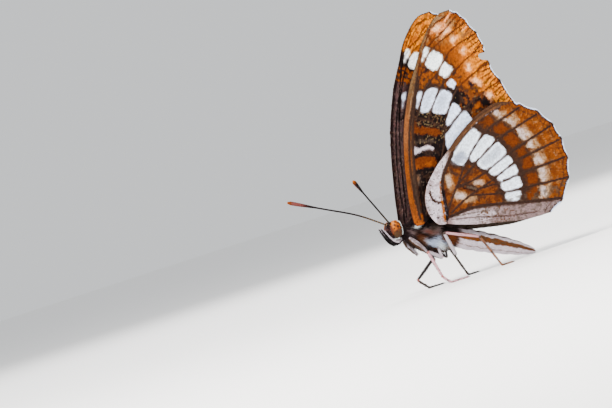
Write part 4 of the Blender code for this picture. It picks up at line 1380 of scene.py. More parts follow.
@dataclass
class Wing:
    """One wing: a thin veined membrane under a coat of scales on each face, with a fringe.

    Attributes:
        underside, upperside: They paint the face that looks out and the one that looks in.
        raised, raise_reach: How far back and up the tip is held, and the height that takes.
        tear: Where the torn notch starts and ends, in height.
        mesh_row: The distance between the net's rows, as a share of its step.
        tip_fringe: How far down the margin the fringe is white all along.
    """

    shape: WingShape
    side: int
    underside: Callable[[WingCanvas], None]
    upperside: Callable[[WingCanvas], None]
    seed: int
    torn: bool = False
    raised: Point2 = (0.0, 0.0)

    raise_reach: float = 8.0
    tear: Point2 = (19.0, 20.6)
    mesh_step: float = 0.27
    mesh_row: float = 0.866
    # How much darker the membrane is painted than its scales: painted shade in the gaps between
    # them.
    membrane_painted_shade: float = 0.7
    row_step: float = 0.21
    scale_step: float = 0.175
    scale_length: float = 0.33
    scale_half: float = 0.115
    scale_rise: float = 0.05
    scale_turn: float = 0.1
    hem_step: float = 0.15
    hem_depths: Point2 = (0.34, 0.2)
    fringe_step: float = 0.055
    fringe_length: float = 0.25
    fringe_half: float = 0.042
    fringe_rise: float = 0.02
    fringe_backs: Point2 = (0.04, 0.16)
    tip_fringe: float = 4.5

    def __post_init__(self) -> None:
        """Names the wing and works out its edge."""
        self.name = f"{self.shape.kind}_{side_name(self.side)}"
        self.edge = self.shape.outline(self.torn)
        self.low = self.edge.min(0) - 0.5
        self.span = float((self.edge.max(0) + 0.5 - self.low).max())

    def unwrap(self, x: Array, z: Array, face: int) -> Array:
        """Flat places on the bake map: the underside fills its left half."""
        share = (np.stack([x, z], axis=-1) - self.low) / self.span
        return share * (0.5, 1.0) + (0.0 if face > 0 else 0.5, 0.0)

    def stand(self, x: Array, z: Array, face: int, rise: float = 0.0) -> Array:
        """Points on one face, raised off it.

        Args:
            x, z: Places along the body, and heights, as drawn.
            face: 1 for the underside and -1 for the upper side.
            rise: How far they are raised.

        Returns:
            The points, one to a row.
        """
        share = 1 - np.exp(-np.maximum(z, 0) / self.raise_reach)
        back, high = x + share * self.raised[0], z + share * self.raised[1]
        away = self.shape.away(back, high) + self.shape.relief(x, z, face) + face * rise
        return np.stack([back, self.side * away, high], axis=-1)

    def painted(self, x: Array, z: Array, face: int) -> Array:
        """The colours of places on one face.

        Args:
            x, z: Places along the body, and heights, as drawn.
            face: 1 for the underside and -1 for the upper side.

        Returns:
            The colour of each place.
        """
        canvas = WingCanvas(self.shape, x, z, self.seed * 2 + (face > 0))
        (self.underside if face > 0 else self.upperside)(canvas)
        return canvas.colour

    def grid(self) -> Array:
        """Flat points for the membrane: its edge, its veins and their feet, and a fine net.

        Returns:
            The points, the edge's first.
        """
        half, step, inner = self.shape.vein_half, self.mesh_step, []
        for line in self.shape.lines.values():
            across = unit(leftward(np.gradient(line, axis=0)))
            inner += [line, line + across * half, line - across * half]
        far = self.low + self.span
        gaps = (step, step * self.mesh_row)
        x, z = np.meshgrid(*(np.arange(*ends) for ends in zip(self.low, far, gaps)))
        x = x + (np.arange(x.shape[0]) % 2)[:, None] * step / 2
        net = np.stack([x.ravel(), z.ravel()], 1)
        inner = np.vstack([*inner, net[self.shape.from_veins(*net.T) > half + 0.1]])
        clear = distance(*inner.T, closed(self.edge)) > 0.13
        return np.vstack([self.edge, inner[clear & within(*inner.T, self.edge)]])

    def membrane(self) -> Sheetwork:
        """The closed thin skin of both faces.

        Returns:
            Its mesh.
        """
        ring = list(range(len(self.edge)))
        start = [Vector(p) for p in self.grid()]
        flat, _, found, *_ = delaunay_2d_cdt(start, [], [ring], 1, 1e-4)
        flat = np.array([tuple(p) for p in flat])
        triangles = []
        for face in found:
            a, b, c = (flat[k] for k in face)
            turn = (b[0] - a[0]) * (c[1] - a[1]) - (b[1] - a[1]) * (c[0] - a[0])
            triangles.append(tuple(face) if turn > 0 else tuple(face)[::-1])
        edges = dict.fromkeys(pair for face in triangles for pair in zip(face, face[1:] + face[:1]))
        count = len(flat)
        faces = triangles + [tuple(k + count for k in face[::-1]) for face in triangles]
        faces += [(b, a, a + count, b + count) for a, b in edges if (b, a) not in edges]
        if self.side > 0:
            faces = [face[::-1] for face in faces]
        points, colours, places = (
            np.vstack([make(*flat.T, face) for face in FACES])
            for make in (self.stand, self.painted, self.unwrap)
        )
        corners = np.array([k for face in faces for k in face])
        # The membrane's colours are darkened as painted shade where it shows between the scales.
        return Sheetwork(points, faces, colours * self.membrane_painted_shade, places[corners])

    def roots(self, random: Random) -> Array:
        """Where the scales stand: in rows one behind another across the wing.

        Args:
            random: What moves them a little.

        Returns:
            The flat places.
        """
        reach = np.hypot(*(self.edge - self.shape.fan).T)
        found = []
        for k, r in enumerate(np.arange(reach.min() - 0.2, reach.max() + 0.1, self.row_step)):
            turn = self.scale_step / r
            angles = np.arange(-np.pi / 2, np.pi * 0.6, turn) + (k % 2) * turn / 2
            angles = angles + random.uniform(-0.2, 0.2, len(angles)) * turn
            row = r + random.uniform(-0.2, 0.2, len(angles)) * self.row_step
            found.append(np.stack([row * np.cos(angles), row * np.sin(angles)], 1))
        found = np.vstack(found) + self.shape.fan
        return found[within(*found.T, self.edge)]

    def plates(
        self, roots: Array, lies: Array, face: int, lengths: Array, halves: Mask, rise: float,
        colours: Array,
    ) -> Sheetwork:
        """Scales that follow the face they stand on.

        Args:
            roots, lies: Flat places of their roots, and flat directions they point in.
            face: 1 for the underside and -1 for the upper side.
            lengths, halves: Their lengths, and half of their widths.
            rise, colours: How far their tips stand off the face, and their colours.

        Returns:
            The mesh of them all.
        """
        reach = lies * lengths[:, None]
        halves = np.broadcast_to(halves, len(roots))
        side = leftward(lies) * halves[:, None]
        rows = [
            self.stand(*(roots + reach * u + side * v).T, face, h / Tufts.SHIELD_TOP * rise)
            for u, v, h in Tufts.SHIELD
        ]
        none = np.zeros((len(roots), 3))
        tufts = Tufts(none, none, none, lengths, halves, colours, self.unwrap(*roots.T, face))
        order = 1 if self.side * face < 0 else -1
        return tufts.gather(rows, [f[::order] for f in Tufts.SHIELD_FACES], Tufts.SHIELD_RIM)

    def coat(self, face: int) -> Sheetwork:
        """The scales of one face, each of one colour.

        Args:
            face: 1 for the underside and -1 for the upper side.

        Returns:
            The mesh of them all.
        """
        random = np.random.default_rng(self.seed * 10 + face)
        roots = self.roots(random)
        room = distance(*roots.T, closed(self.edge))
        roots, room = roots[room > 0.04], room[room > 0.04]
        lies = unit(roots - self.shape.fan)
        turn = random.normal(0, self.scale_turn, len(roots))[:, None]
        lies = lies * np.cos(turn) + leftward(lies) * np.sin(turn)
        lengths = self.scale_length * random.uniform(0.85, 1.15, len(roots))
        clear = within(*(roots + lies * lengths[:, None]).T, self.edge)
        lengths = np.where(clear, lengths, np.minimum(lengths, room + 0.1))
        halves = self.scale_half * random.uniform(0.88, 1.12, len(roots))
        middle = roots + lies * (lengths * 0.55)[:, None]
        colours = varied(self.painted(*middle.T, face), random, *SCALE_SHADES)
        return self.plates(roots, lies, face, lengths, halves, self.scale_rise, colours)

    def sound(self, places: Array, beyond: float) -> Array:
        """Which flat places are clear of the torn notch, by a distance above and below it."""
        high, (low, top) = places[:, 1], self.tear
        return (high < low - beyond) | (high > top + beyond) | (not self.torn)

    def hem(self, face: int) -> Sheetwork:
        """Scales that lie outward over the bare rim, along the edges that have no fringe.

        Args:
            face: 1 for the underside and -1 for the upper side.

        Returns:
            The mesh of them all.
        """
        random = np.random.default_rng(self.seed * 10 + 7 + face)
        rows = []
        for depth in self.hem_depths:
            _, here, along = uneven_steps(closed(self.edge), self.hem_step, 0.2, 0.1, random)
            kept = distance(*here.T, self.shape.margin) > 0.3
            kept &= self.sound(here, 0.4) | (here[:, 0] < 10.0)
            here, out = here[kept], leftward(along)[kept]
            roots = here - out * depth
            lies = unit(out + 0.6 * unit(roots - self.shape.fan))
            lengths = depth * random.uniform(0.9, 1.05, len(here))
            colours = varied(self.painted(*roots.T, face), random, *SCALE_SHADES)
            look = (lengths, self.scale_half, self.scale_rise, colours)
            rows.append(self.plates(roots, lies, face, *look))
        return together(rows)

    def fringe(self) -> Sheetwork:
        """Long narrow scales along the outer margin, white between the veins.

        Returns:
            The mesh of them all.
        """
        random = np.random.default_rng(self.seed * 10 + 5)
        tips = run_along(self.shape.margin)[self.shape.tips]
        rows = []
        for face, back in product(FACES, self.fringe_backs):
            at, here, along = uneven_steps(self.shape.margin, self.fringe_step, 0.3, 0.0, random)
            out = leftward(along) + along * random.normal(0, 0.12, (len(at), 1))
            kept = self.sound(here, 0.0)
            at, here, out = at[kept], here[kept], out[kept]
            cell = np.clip(np.searchsorted(tips, at) - 1, 0, len(tips) - 2)
            share = (at - tips[cell]) / (tips[cell + 1] - tips[cell])
            wave = np.maximum(np.sin(np.pi * np.clip(share, 0, 1)), 1.2 * (at < self.tip_fringe))
            pale = wave > 0.3 + random.normal(0, 0.08, len(at))
            colours = np.where(pale[:, None], Dye.CHALK.linear, Dye.UMBER.linear)
            colours = varied(colours, random, 0.65, 1.0)
            lengths = self.fringe_length * random.uniform(0.55, 1.1, len(at))
            lengths = lengths * np.where(pale, 1, 0.65) + back
            look = (lengths, self.fringe_half, self.fringe_rise, colours)
            rows.append(self.plates(here - out * back, out, face, *look))
        return together(rows)

    def build(self, skin: Material, scales: Material) -> None:
        """Builds the wing's pieces.

        Args:
            skin, scales: The finishes of the membrane and the scales.
        """
        slot = f"{self.shape.kind}_scales"
        self.membrane().build(f"{self.name}_membrane", skin, slot, self.name)
        for face, word in zip(FACES, ("underside", "upperside")):
            scaled = self.coat(face).joined(self.hem(face))
            scaled.build(f"{self.name}_{word}_scales", scales, slot)
        self.fringe().build(f"{self.name}_fringe", scales, slot)


@dataclass
class Body:
    """Head, thorax and abdomen under one skin, with fur before and scales behind.

    Each station on the body's line is x, z, half height and half width."""

    stations: Sequence[Point4] = (
        (-5.12, 0.12, 0.05, 0.05), (-5.08, 0.12, 0.26, 0.24), (-4.98, 0.11, 0.56, 0.46),
        (-4.8, 0.08, 0.9, 0.62), (-4.3, 0.0, 1.12, 0.74), (-3.8, -0.12, 0.92, 0.64),
        (-3.35, -0.32, 0.64, 0.5), (-2.95, -0.55, 0.82, 0.74), (-2.2, -0.95, 1.24, 1.12),
        (-1.0, -1.5, 1.88, 1.5), (0.5, -2.0, 2.4, 1.72), (2.0, -2.5, 2.45, 1.74),
        (3.3, -2.92, 2.18, 1.62), (4.2, -3.2, 1.74, 1.4), (4.85, -3.46, 1.36, 1.24),
    )
    tail_start: Point2 = (4.2, -3.28)
    tail_end: Point2 = (17.45, -9.42)
    tail_radius: float = 1.36
    segments: int = 7
    step: float = 0.22
    sides: int = 56
    floor: float = -9.77
    hairs: int = 9000
    hair_length: float = 0.85
    head_shorter: float = 0.42
    brow_hairs: int = 900
    brow_length: float = 0.34
    tail_scales: int = 6500
    tail_scale_length: float = 0.34
    tail_hairs: int = 2600
    tail_hair_length: float = 0.42
    seed: int = 7

    def __post_init__(self) -> None:
        """Works out the body's rings."""
        t = np.linspace(0.1, 1.0, 40)
        tail = np.outer(1 - t, self.tail_start) + np.outer(t, self.tail_end)
        bulge = np.abs(np.sin(np.pi * self.segments * t)) ** 0.7
        taper = np.maximum(1 - t ** 2.4, 0.0) ** 0.62
        size = self.tail_radius * (0.93 + 0.1 * bulge) * taper + 0.12
        front = curve_through(self.stations, self.step)
        x, z, tall, wide = np.vstack([front, np.column_stack([tail, size, size * 0.97])[1:]]).T
        self.rings = Rings(np.column_stack([x, 0 * x, z]), tall, wide)

    def painted(self, x: Array, angle: Array, seed: int) -> Array:
        """The body's colours.

        Args:
            x, angle: Places along the body, and angles from the top, in radians.
            seed: Seed of the single scales of another colour.

        Returns:
            The colour at each place.
        """
        down = np.abs(np.mod(angle + np.pi, 2 * np.pi) - np.pi) / np.pi
        canvas = Canvas(x, down * 6, seed)
        canvas.lay(1.0, Dye.INK)
        canvas.scatter(1.0, 0.22, Dye.PLUM)
        canvas.scatter(ramp(0.2, 0.35, down), 0.18, Dye.UMBER)
        tail = ramp(4.6, 5.4, x)
        wander = canvas.ragged(0.02)
        bands = ((0.12, 0.17, Dye.BARK), (0.2, 0.23, Dye.LILAC), (0.37, 0.4, Dye.BARK))
        for low, high, dye in bands:
            canvas.lay(tail * ramp(low, high, down + wander), dye)
        canvas.mottle(Dye.RUST, 0.8, 0.5, 62.0, tail * (np.abs(down - 0.49) < 0.1), 0.0)
        canvas.lay(tail * ramp(0.57, 0.6, down + wander), Dye.LILAC)
        canvas.lay(tail * ramp(0.03, 0.0, np.abs(down + wander - 0.78)) * 0.6, Dye.BARK)
        chest = (1 - tail) * ramp(-2.6, -2.0, x)
        canvas.blot((-1.7, 2.1), (0.5, 0.36), 0, Dye.MILK, 0.12, 0.08)
        grey = [(-1.1, 2.4), (1.8, 2.3), (2.0, 3.1), (0.2, 3.4), (-1.1, 3.2)]
        canvas.area(grey, Dye.ASH, 0.25, 0.3)
        flank = within(x, canvas.z, [(-1.1, 2.4), (1.8, 2.4), (1.8, 3.2), (-1.1, 3.2)])
        canvas.mottle(Dye.MAUVE, 0.8, 0.5, 61.0, flank, 0.0)
        canvas.blot((-0.1, 2.95), (0.7, 0.28), 0, Dye.ROSE, 0.2, 0.2, 0.55)
        blue = [(-0.3, 3.7), (1.3, 3.5), (2.7, 3.8), (3.1, 4.6), (1.9, 5.0), (0.2, 4.7)]
        for outline, dye, ragged in (
            ([(-2.2, 3.0), (-1.2, 3.2), (0.0, 3.5), (-0.4, 4.6), (-1.6, 4.3)], Dye.CHESTNUT, 0.3),
            ([(2.2, 3.2), (4.6, 3.0), (4.8, 4.9), (2.4, 5.2), (0.6, 5.1)], Dye.RUST, 0.3),
            (blue, Dye.SLATE, 0.25),
        ):
            canvas.area(outline, dye, 0.25, ragged)
        canvas.blot((1.1, 4.2), (1.1, 0.45), 5, Dye.CHALK, 0.4, 0.3, 0.8)
        canvas.blot((2.2, 4.55), (0.7, 0.35), 10, Dye.MILK, 0.3, 0.2, 0.8)
        canvas.area([(-2.7, 2.9), (-2.0, 2.9), (-1.9, 3.5), (-2.5, 3.8)], Dye.MAUVE, 0.2, 0.2)
        canvas.lay(chest * ramp(0.86, 0.92, down), Dye.UMBER)
        face = ramp(-3.9, -4.3, x)
        canvas.mottle(Dye.MAUVE, 0.6, 0.3, 63.0, face, 0.35)
        canvas.mottle(Dye.ROSE, 0.6, 0.25, 64.0, face, 0.6)
        return canvas.colour

    def skin(self) -> Sheetwork:
        """The painted skin.

        Returns:
            Its mesh.
        """
        made, at, angle = self.rings.skin(self.sides)
        made.colours = self.painted(self.rings.read(at, self.rings.centres)[:, 0], angle, self.seed)
        return made.above(self.floor)

    def coat(self, count: int, seed: int, low: float, high: float) -> tuple[Tufts, Array]:
        """Painted tufts over a stretch of the skin.

        Args:
            count, seed: How many, and the seed of their places and colours.
            low, high: The stretch, along x.

        Returns:
            The tufts and their places along x.
        """
        random = np.random.default_rng(seed)
        ends = np.interp((low, high), self.rings.centres[:, 0], self.rings.run / self.rings.run[-1])
        tufts, at, angle = self.rings.tufts(count, random, *ends)
        x = self.rings.read(at, self.rings.centres)[:, 0]
        return replace(tufts, colours=varied(self.painted(x, angle, seed), random, 0.8, 1.2)), x

    def fur(self) -> Sheetwork:
        """The hair of thorax and head, and the stiffer hair between the eyes.

        Returns:
            The mesh of it all.
        """
        random = np.random.default_rng(self.seed + 1)
        coat, x = self.coat(self.hairs, self.seed + 2, -5.05, 5.1)
        head = ramp(-3.2, -3.8, x)
        lies = coat.lies + random.normal(0, 0.22, (len(x), 3))
        lies[:, 0] -= 1.2 * head * ramp(-4.2, -4.9, x)
        length = self.hair_length - self.head_shorter * head
        coat = replace(coat, lies=unit(lies)).sized(random, length, 0.6, 1.15, 0.028)
        brow, x = self.coat(self.brow_hairs, self.seed + 6, -5.11, -4.5)
        lies = unit(random.normal(0, 0.35, (len(x), 3)) - brow.lies * 0.4)
        brow = replace(brow, lies=lies).sized(random, self.brow_length, 0.6, 1.15, 0.022)
        return coat.spikes(0.3).joined(brow.spikes(0.9)).above(self.floor)

    def scales(self) -> Sheetwork:
        """The scales of the abdomen, with short hairs among them.

        Returns:
            The mesh of it all.
        """
        random = np.random.default_rng(self.seed + 3)
        plates, x = self.coat(self.tail_scales, self.seed + 4, 4.7, 17.3)
        thin = ramp(17.6, 14.0, x) * 0.6 + 0.4
        plates = plates.sized(random, self.tail_scale_length * thin, 0.8, 1.2, 0.1 * thin)
        hairs, _ = self.coat(self.tail_hairs, self.seed + 5, 4.7, 17.4)
        hairs = hairs.sized(random, self.tail_hair_length, 0.6, 1.2, 0.022)
        return plates.shields().joined(hairs.spikes(0.22)).above(self.floor)

    def build(self, skin: Material, fur: Material, scales: Material) -> None:
        """Builds the skin and its two coats.

        Args:
            skin, fur, scales: The finishes of the skin, the hair and the abdomen's scales.
        """
        self.skin().build("body_skin", skin, "body_fur", "head", "thorax", "abdomen")
        self.fur().build("body_fur", fur, "body_fur")
        self.scales().build("abdomen_scales", scales, "abdomen_scales")


@dataclass(frozen=True)
class LegPaint:
    """The colours of a leg: on its outer face and on the rest, for each length."""

    thigh: tuple[Dye, Dye]
    shin: tuple[Dye, Dye]
    foot: tuple[Dye, Dye]
    joint: Dye


@dataclass
class Leg:
    """A walking leg: femur, tibia and a tarsus of five joints, with fine hairs, spines and claws.

    Attributes:
        corners: From the body: coxa, trochanter, knee, ankle, heel and toe, on the right side.
        thick: What its widths are measured by.
        claw: A claw's line from the toe: ahead, outward and up.
    """

    name: str
    side: int
    corners: Sequence[Point3]
    paint: LegPaint
    seed: int

    thick: float = 0.27
    step: float = 0.09
    sides: int = 16
    foot_drop: float = 0.07
    tarsomeres: int = 5
    hairs: int = 1500
    spines: int = 90
    claw: Sequence[Point3] = (
        (-0.05, 0.03, 0.0), (0.1, 0.09, 0.02), (0.22, 0.12, -0.01), (0.27, 0.12, -0.07)
    )

    def __post_init__(self) -> None:
        """Lays out the leg's line and its rings."""
        corners = mirrored(self.corners, self.side)
        corners[-2:, 2] -= self.foot_drop
        line = rounded(corners, self.step, 4)
        run = run_along(line)
        self.marks = run[[int(np.linalg.norm(line - c, axis=1).argmin()) for c in corners]]
        _, hip, knee, ankle, _, toe = self.marks
        spans = ((hip, knee), (knee, ankle), (ankle, toe))
        thigh, shin, foot = (np.clip((run - a) / (b - a), 0, 1) for a, b in spans)
        beads = np.abs(np.sin(np.pi * self.tarsomeres * foot)) ** 0.6
        size = 0.68 + 0.34 * np.sin(np.pi * thigh) ** 0.7
        size = np.where(run > knee, 0.7 - 0.08 * shin + 0.1 * np.sin(np.pi * shin), size)
        size = np.where(run > ankle, 0.5 + 0.14 * beads - 0.1 * foot, size) * self.thick
        self.rings = Rings(line, size, size * 0.92, (0, self.side, 0))

    def painted(self, at: Array, angle: Array) -> Array:
        """The colours of places on the leg.

        Args:
            at, angle: Their distances along it, and angles from the top.

        Returns:
            The colour at each place.
        """
        _, hip, knee, ankle, _, toe = self.marks
        canvas = Canvas(at, angle, self.seed)
        outer = self.rings.facing(at, angle, (-0.5, self.side, 0.4)) + canvas.ragged(0.12)
        paint = self.paint
        for start, (face, rest) in ((0, paint.thigh), (knee, paint.shin), (ankle, paint.foot)):
            inside = ramp(start - 0.06, start + 0.06, at)
            canvas.lay(inside, rest)
            canvas.lay(inside * ramp(0.1, 0.35, outer), face)
        for place in (hip, knee, ankle):
            canvas.lay(ramp(0.22, 0.1, np.abs(at - place)), paint.joint)
        foot = np.clip((at - ankle) / (toe - ankle), 0, 1) * self.tarsomeres
        ends = ramp(0.16, 0.08, np.abs(foot - np.round(foot))) * (at > ankle + 0.1)
        canvas.lay(ends * 0.7, Dye.UMBER)
        return canvas.colour

    def shell(self) -> Sheetwork:
        """The leg's shell.

        Returns:
            Its mesh.
        """
        made, at, angle = self.rings.skin(self.sides)
        made.colours = self.painted(at, angle)
        return made.above(FOOT_LEVEL)

    def bristles(self) -> Sheetwork:
        """Fine hairs along the leg, and spines along the tibia and tarsus.

        Returns:
            The mesh of them all.
        """
        random = np.random.default_rng(self.seed + 1)
        hairs, at, angle = self.rings.tufts(self.hairs, random, 0.04, 0.99)
        hairs = replace(hairs, colours=varied(self.painted(at, angle), random, *HAIR_SHADES))
        hairs = hairs.sized(random, 1.0, 0.12, 0.24, 0.014)
        spines, at, _ = self.rings.tufts(self.spines, random, self.marks[2] / self.marks[-1], 0.97)
        spines = replace(spines, colours=np.tile(Dye.PLUM.linear, (len(at), 1)))
        spines = spines.sized(random, 1.0, 0.24, 0.34, 0.02)
        return hairs.spikes(0.35).joined(spines.spikes(0.55, 0.0)).above(FOOT_LEVEL)

    def claws(self) -> Sheetwork:
        """The two curved claws at the toe.

        Returns:
            Their mesh.
        """
        line, made = self.rings.centres, []
        toe, along = line[-1], unit(line[-1:] - line[-6:-5])[0]
        for turn in SIDES:
            out = np.cross(along, (0, 0, 1)) * turn
            path = [toe + along * fore + out * wide + (0, 0, up) for fore, wide, up in self.claw]
            path = curve_through(path, 0.03)
            size = 0.034 * (1 - np.linspace(0, 1, len(path)) ** 1.5) + 0.006
            claw, *_ = Rings(path, size, size).skin(8)
            made.append(replace(claw, colours=claw.colours * Dye.INK.linear))
        return together(made).above(FOOT_LEVEL)

    def build(self, shell: Material, hair: Material) -> None:
        """Builds the leg's pieces.

        Args:
            shell, hair: The finishes of shell and claws, and of the bristles.
        """
        nodes = [f"{self.name}_{part}" for part in ("femur", "tibia", "tarsus")]
        self.shell().build(self.name, shell, "leg", *nodes)
        self.bristles().build(f"{self.name}_bristles", hair, "leg")
        self.claws().build(f"{self.name}_claws", shell, "leg")


@dataclass
class Limb:
    """A short furred limb or mouthpart: a soft tube under a coat of hair.

    Attributes:
        kind: What it is, which also names its pieces.
        path: Its line, on the right side, with the radius at each point.
        lower, upper: Its colours below, and above and outside.
        shade: How mottled its upper side is.
        edge, border: The direction its lower side faces, and where that starts, from -1 to 1.
    """

    kind: str
    side: int
    path: Sequence[Point4]
    lower: Dye
    hair_length: float
    seed: int
    shade: float = 0.0
    border: float = 0.15
    upper: Dye = Dye.LILAC
    hairs: int = 1100
    sides: int = 18
    edge: Point3 = (-0.6, 0.0, -0.8)

    def __post_init__(self) -> None:
        """Lays out its rings."""
        rows = curve_through(np.asarray(self.path, float) * (1, self.side, 1, 1), 0.1)
        self.rings = Rings(rows[:, :3], rows[:, 3], rows[:, 3], (0.0, self.side * 0.4, 1.0))

    def painted(self, at: Array, angle: Array) -> Array:
        """The colours of places on it.

        Args:
            at, angle: Their distances along it, and angles from the top.

        Returns:
            The colour at each place.
        """
        canvas = Canvas(at * 2, np.sin(angle) * 1.5, self.seed)
        canvas.lay(1.0, self.upper)
        canvas.mottle(Dye.MAUVE, self.shade, 0.5, 65.0, ramp(0.3, 0.9, at), -0.1)
        canvas.scatter(1.0, 0.12, Dye.MAUVE)
        depth = self.rings.facing(at, angle, self.edge) + canvas.ragged(0.12) - self.border
        canvas.lay(ramp(-0.12, 0.12, depth), self.lower)
        return canvas.colour

    def build(self, skin: Material, hair: Material) -> None:
        """Builds the limb and its coat.

        Args:
            skin, hair: The finishes of the skin and the hair.
        """
        name = f"{self.kind}_{side_name(self.side)}"
        made, at, angle = self.rings.skin(self.sides)
        made.colours = self.painted(at, angle)
        made.build(f"{name}_skin", skin, self.kind, name)
        random = np.random.default_rng(self.seed)
        coat, at, angle = self.rings.tufts(self.hairs, random, 0.02, 0.98)
        coat = replace(coat, colours=varied(self.painted(at, angle), random, *HAIR_SHADES))
        coat = coat.sized(random, self.hair_length, 0.6, 1.2, 0.02)
        coat = replace(coat, lies=unit(coat.lies + random.normal(0, 0.16, (len(at), 3))))
        coat.spikes(0.3).build(f"{name}_hair", hair, self.kind)


@dataclass
class Antenna:
    """A feeler of many rings that thickens into a club."""

    side: int
    path: Sequence[Point3] = (
        (-4.72, 0.32, 0.8), (-7.6, 2.9, 3.6), (-10.7, 6.2, 5.95), (-14.05, 9.85, 8.45)
    )
    rings: int = 46
    radius: float = 0.125
    club: float = 0.29
    club_start: float = 0.68
    step: float = 0.045
    sides: int = 16

    def shell(self) -> Sheetwork:
        """The ringed, painted shaft and club.

        Returns:
            Their mesh.
        """
        line = curve_through(mirrored(self.path, self.side), self.step)
        share = np.linspace(0, 1, len(line))
        swell = ramp(self.club_start, 0.94, share) * (1 - ramp(0.965, 1.0, share) * 0.75)
        beads = np.abs(np.sin(np.pi * self.rings * share)) ** 0.5
        base = 1 + 0.9 * ramp(0.03, 0.0, share)
        size = (self.radius * base + (self.club - self.radius) * swell) * (0.88 + 0.12 * beads)
        made, at, angle = Rings(line, size, size).skin(self.sides)
        share = at / at.max()
        canvas = Canvas(at, np.sin(angle), 3)
        canvas.lay(1.0, Dye.INK)
        rings = np.cos(2 * np.pi * self.rings * share)
        outward = np.sin(angle) * -self.side
        near = ramp(0.42, 0.12, share) * (0.3 + 0.7 * (outward > -0.2))
        canvas.lay(ramp(0.6, 0.9, rings) * near, Dye.CREAM)
        canvas.lay(ramp(0.55, 0.85, rings) * ramp(0.35, 0.6, share) * 0.5, Dye.PLUM)
        # Painted light: the club is rose on its outer side, where the light falls on it.
        canvas.lay(ramp(0.76, 0.88, share) * ramp(-0.2, 0.5, outward) * 0.55, Dye.ROSE)
        canvas.lay(ramp(0.945, 0.975, share), Dye.BRICK)
        canvas.lay(ramp(0.985, 1.0, share) * 0.7, Dye.ORANGE)
        made.colours = canvas.colour
        return made

    def build(self, shell: Material) -> None:
        """Builds the feeler with its finish."""
        name = f"antenna_{side_name(self.side)}"
        self.shell().build(f"{name}_shell", shell, "antenna", name)


@dataclass
class Eye:
    """A large eye of fine facets, banded and spotted, with a ring of hairs behind it.

    Attributes:
        middle, half: Its middle, on the right side, and half of its length, width and height.
        ring: Where the pale hairs start, where dark ones follow, and where these end.
        spots: The middle and half the length of each dark spot.
    """

    side: int
    middle: Point3 = (-4.42, 0.92, 0.05)
    half: Point3 = (0.86, 0.7, 1.32)
    sides: int = 72
    hairs: int = 1500
    hair_length: float = 0.22
    ring: Point3 = (0.72, 0.82, 0.99)
    spots: Sequence[tuple[Point2, float]] = (
        ((-0.38, 0.6), 0.17), ((0.0, 0.26), 0.25), ((-0.35, -0.32), 0.2), ((0.36, -0.28), 0.2),
        ((0.24, 0.76), 0.12), ((0.04, -0.68), 0.15), ((0.38, -0.74), 0.14), ((-0.12, 0.98), 0.1),
        ((-0.6, 0.12), 0.12), ((-0.1, -0.1), 0.11), ((0.34, 0.16), 0.1), ((-0.18, -0.98), 0.12),
    )

    def globe(self) -> Sheetwork:
        """The painted globe.

        Returns:
            Its mesh.
        """
        angle = np.linspace(-1, 1, self.sides) * np.pi / 2
        line = np.column_stack([0 * angle, 0 * angle, np.sin(angle)])
        size = np.maximum(np.cos(angle), 0.01)
        made, *_ = Rings(line, size, size, (1.0, 0.0, 0.0)).skin(self.sides)
        ball = made.points
        made.points = ball * self.half + mirrored(self.middle, self.side)
        canvas = Canvas(ball[:, 0] * self.half[0], ball[:, 2] * self.half[2], 5)
        z = canvas.z
        canvas.lay(1.0, Dye.AMBER)
        canvas.mottle(Dye.ORANGE, 0.9, 0.3, 51.0, ramp(-0.7, 0.0, z), -0.1)
        canvas.mottle(Dye.GOLD, 0.55, 0.25, 54.0, ramp(-0.2, 0.3, z), 0.1)
        canvas.lay(ramp(0.0, -0.5, z + canvas.ragged(0.12)) * 0.95, Dye.OLIVE)
        canvas.lay(ramp(0.3, 0.55, ball[:, 0] - 0.15 * z) * 0.8, Dye.CHESTNUT)
        for spot, half in self.spots:
            canvas.blot(spot, (half, half * 0.85), 60, Dye.CHESTNUT, 0.04, 0.05)
            canvas.blot(spot, (half * 0.7, half * 0.6), 60, Dye.PLUM, 0.04, 0.03)
        canvas.mottle(Dye.BRICK, 0.6, 0.12, 52.0, ramp(-1.0, -0.6, z), 0.3)
        canvas.lay(ramp(-0.75, -0.9, ball[:, 0]), Dye.BRICK)
        inner = ramp(0.0, -0.3, ball[:, 1] * self.side)
        canvas.lay(inner, Dye.PLUM)
        canvas.mottle(Dye.ROSE, 0.6, 0.3, 53.0, inner, 0.45)
        canvas.lay(ramp(0.7, 0.76, ball[:, 0]), Dye.PLUM)
        made.colours = canvas.colour
        return made

    def lashes(self) -> Sheetwork:
        """The ring of pale hairs round the back of the globe, with dark hairs inside it.

        Returns:
            The mesh of them all.
        """
        random = np.random.default_rng(60 + self.side)
        turn = random.uniform(0, 2 * np.pi, self.hairs)
        start, middle, end = self.ring
        back = random.uniform(start, end, self.hairs)
        out = np.sqrt(1 - back ** 2)
        ball = np.column_stack([back, out * np.cos(turn), out * np.sin(turn)])
        roots, bare = ball * self.half + mirrored(self.middle, self.side), np.ones(self.hairs)
        colours = np.where((back < middle)[:, None], Dye.MILK.linear, Dye.UMBER.linear)
        flat = np.column_stack([turn / (2 * np.pi), back])
        normals, lies = unit(ball / self.half), unit(ball * (0.35, 1, 1))
        coat = Tufts(roots, normals, lies, bare, bare, colours, flat)
        coat = coat.sized(random, self.hair_length, 0.7, 1.1, 0.018)
        return replace(coat, colours=varied(colours, random, 0.7, 1.0)).spikes(0.05, 0.0)

    def build(self, glass: Material, hair: Material) -> None:
        """Builds the eye and the hairs behind it.

        Args:
            glass, hair: The finishes of the globe and the hairs.
        """
        name = f"eye_{side_name(self.side)}"
        self.globe().build(f"{name}_globe", glass, "eye", name)
        self.lashes().build(f"{name}_lashes", hair, "body_fur")


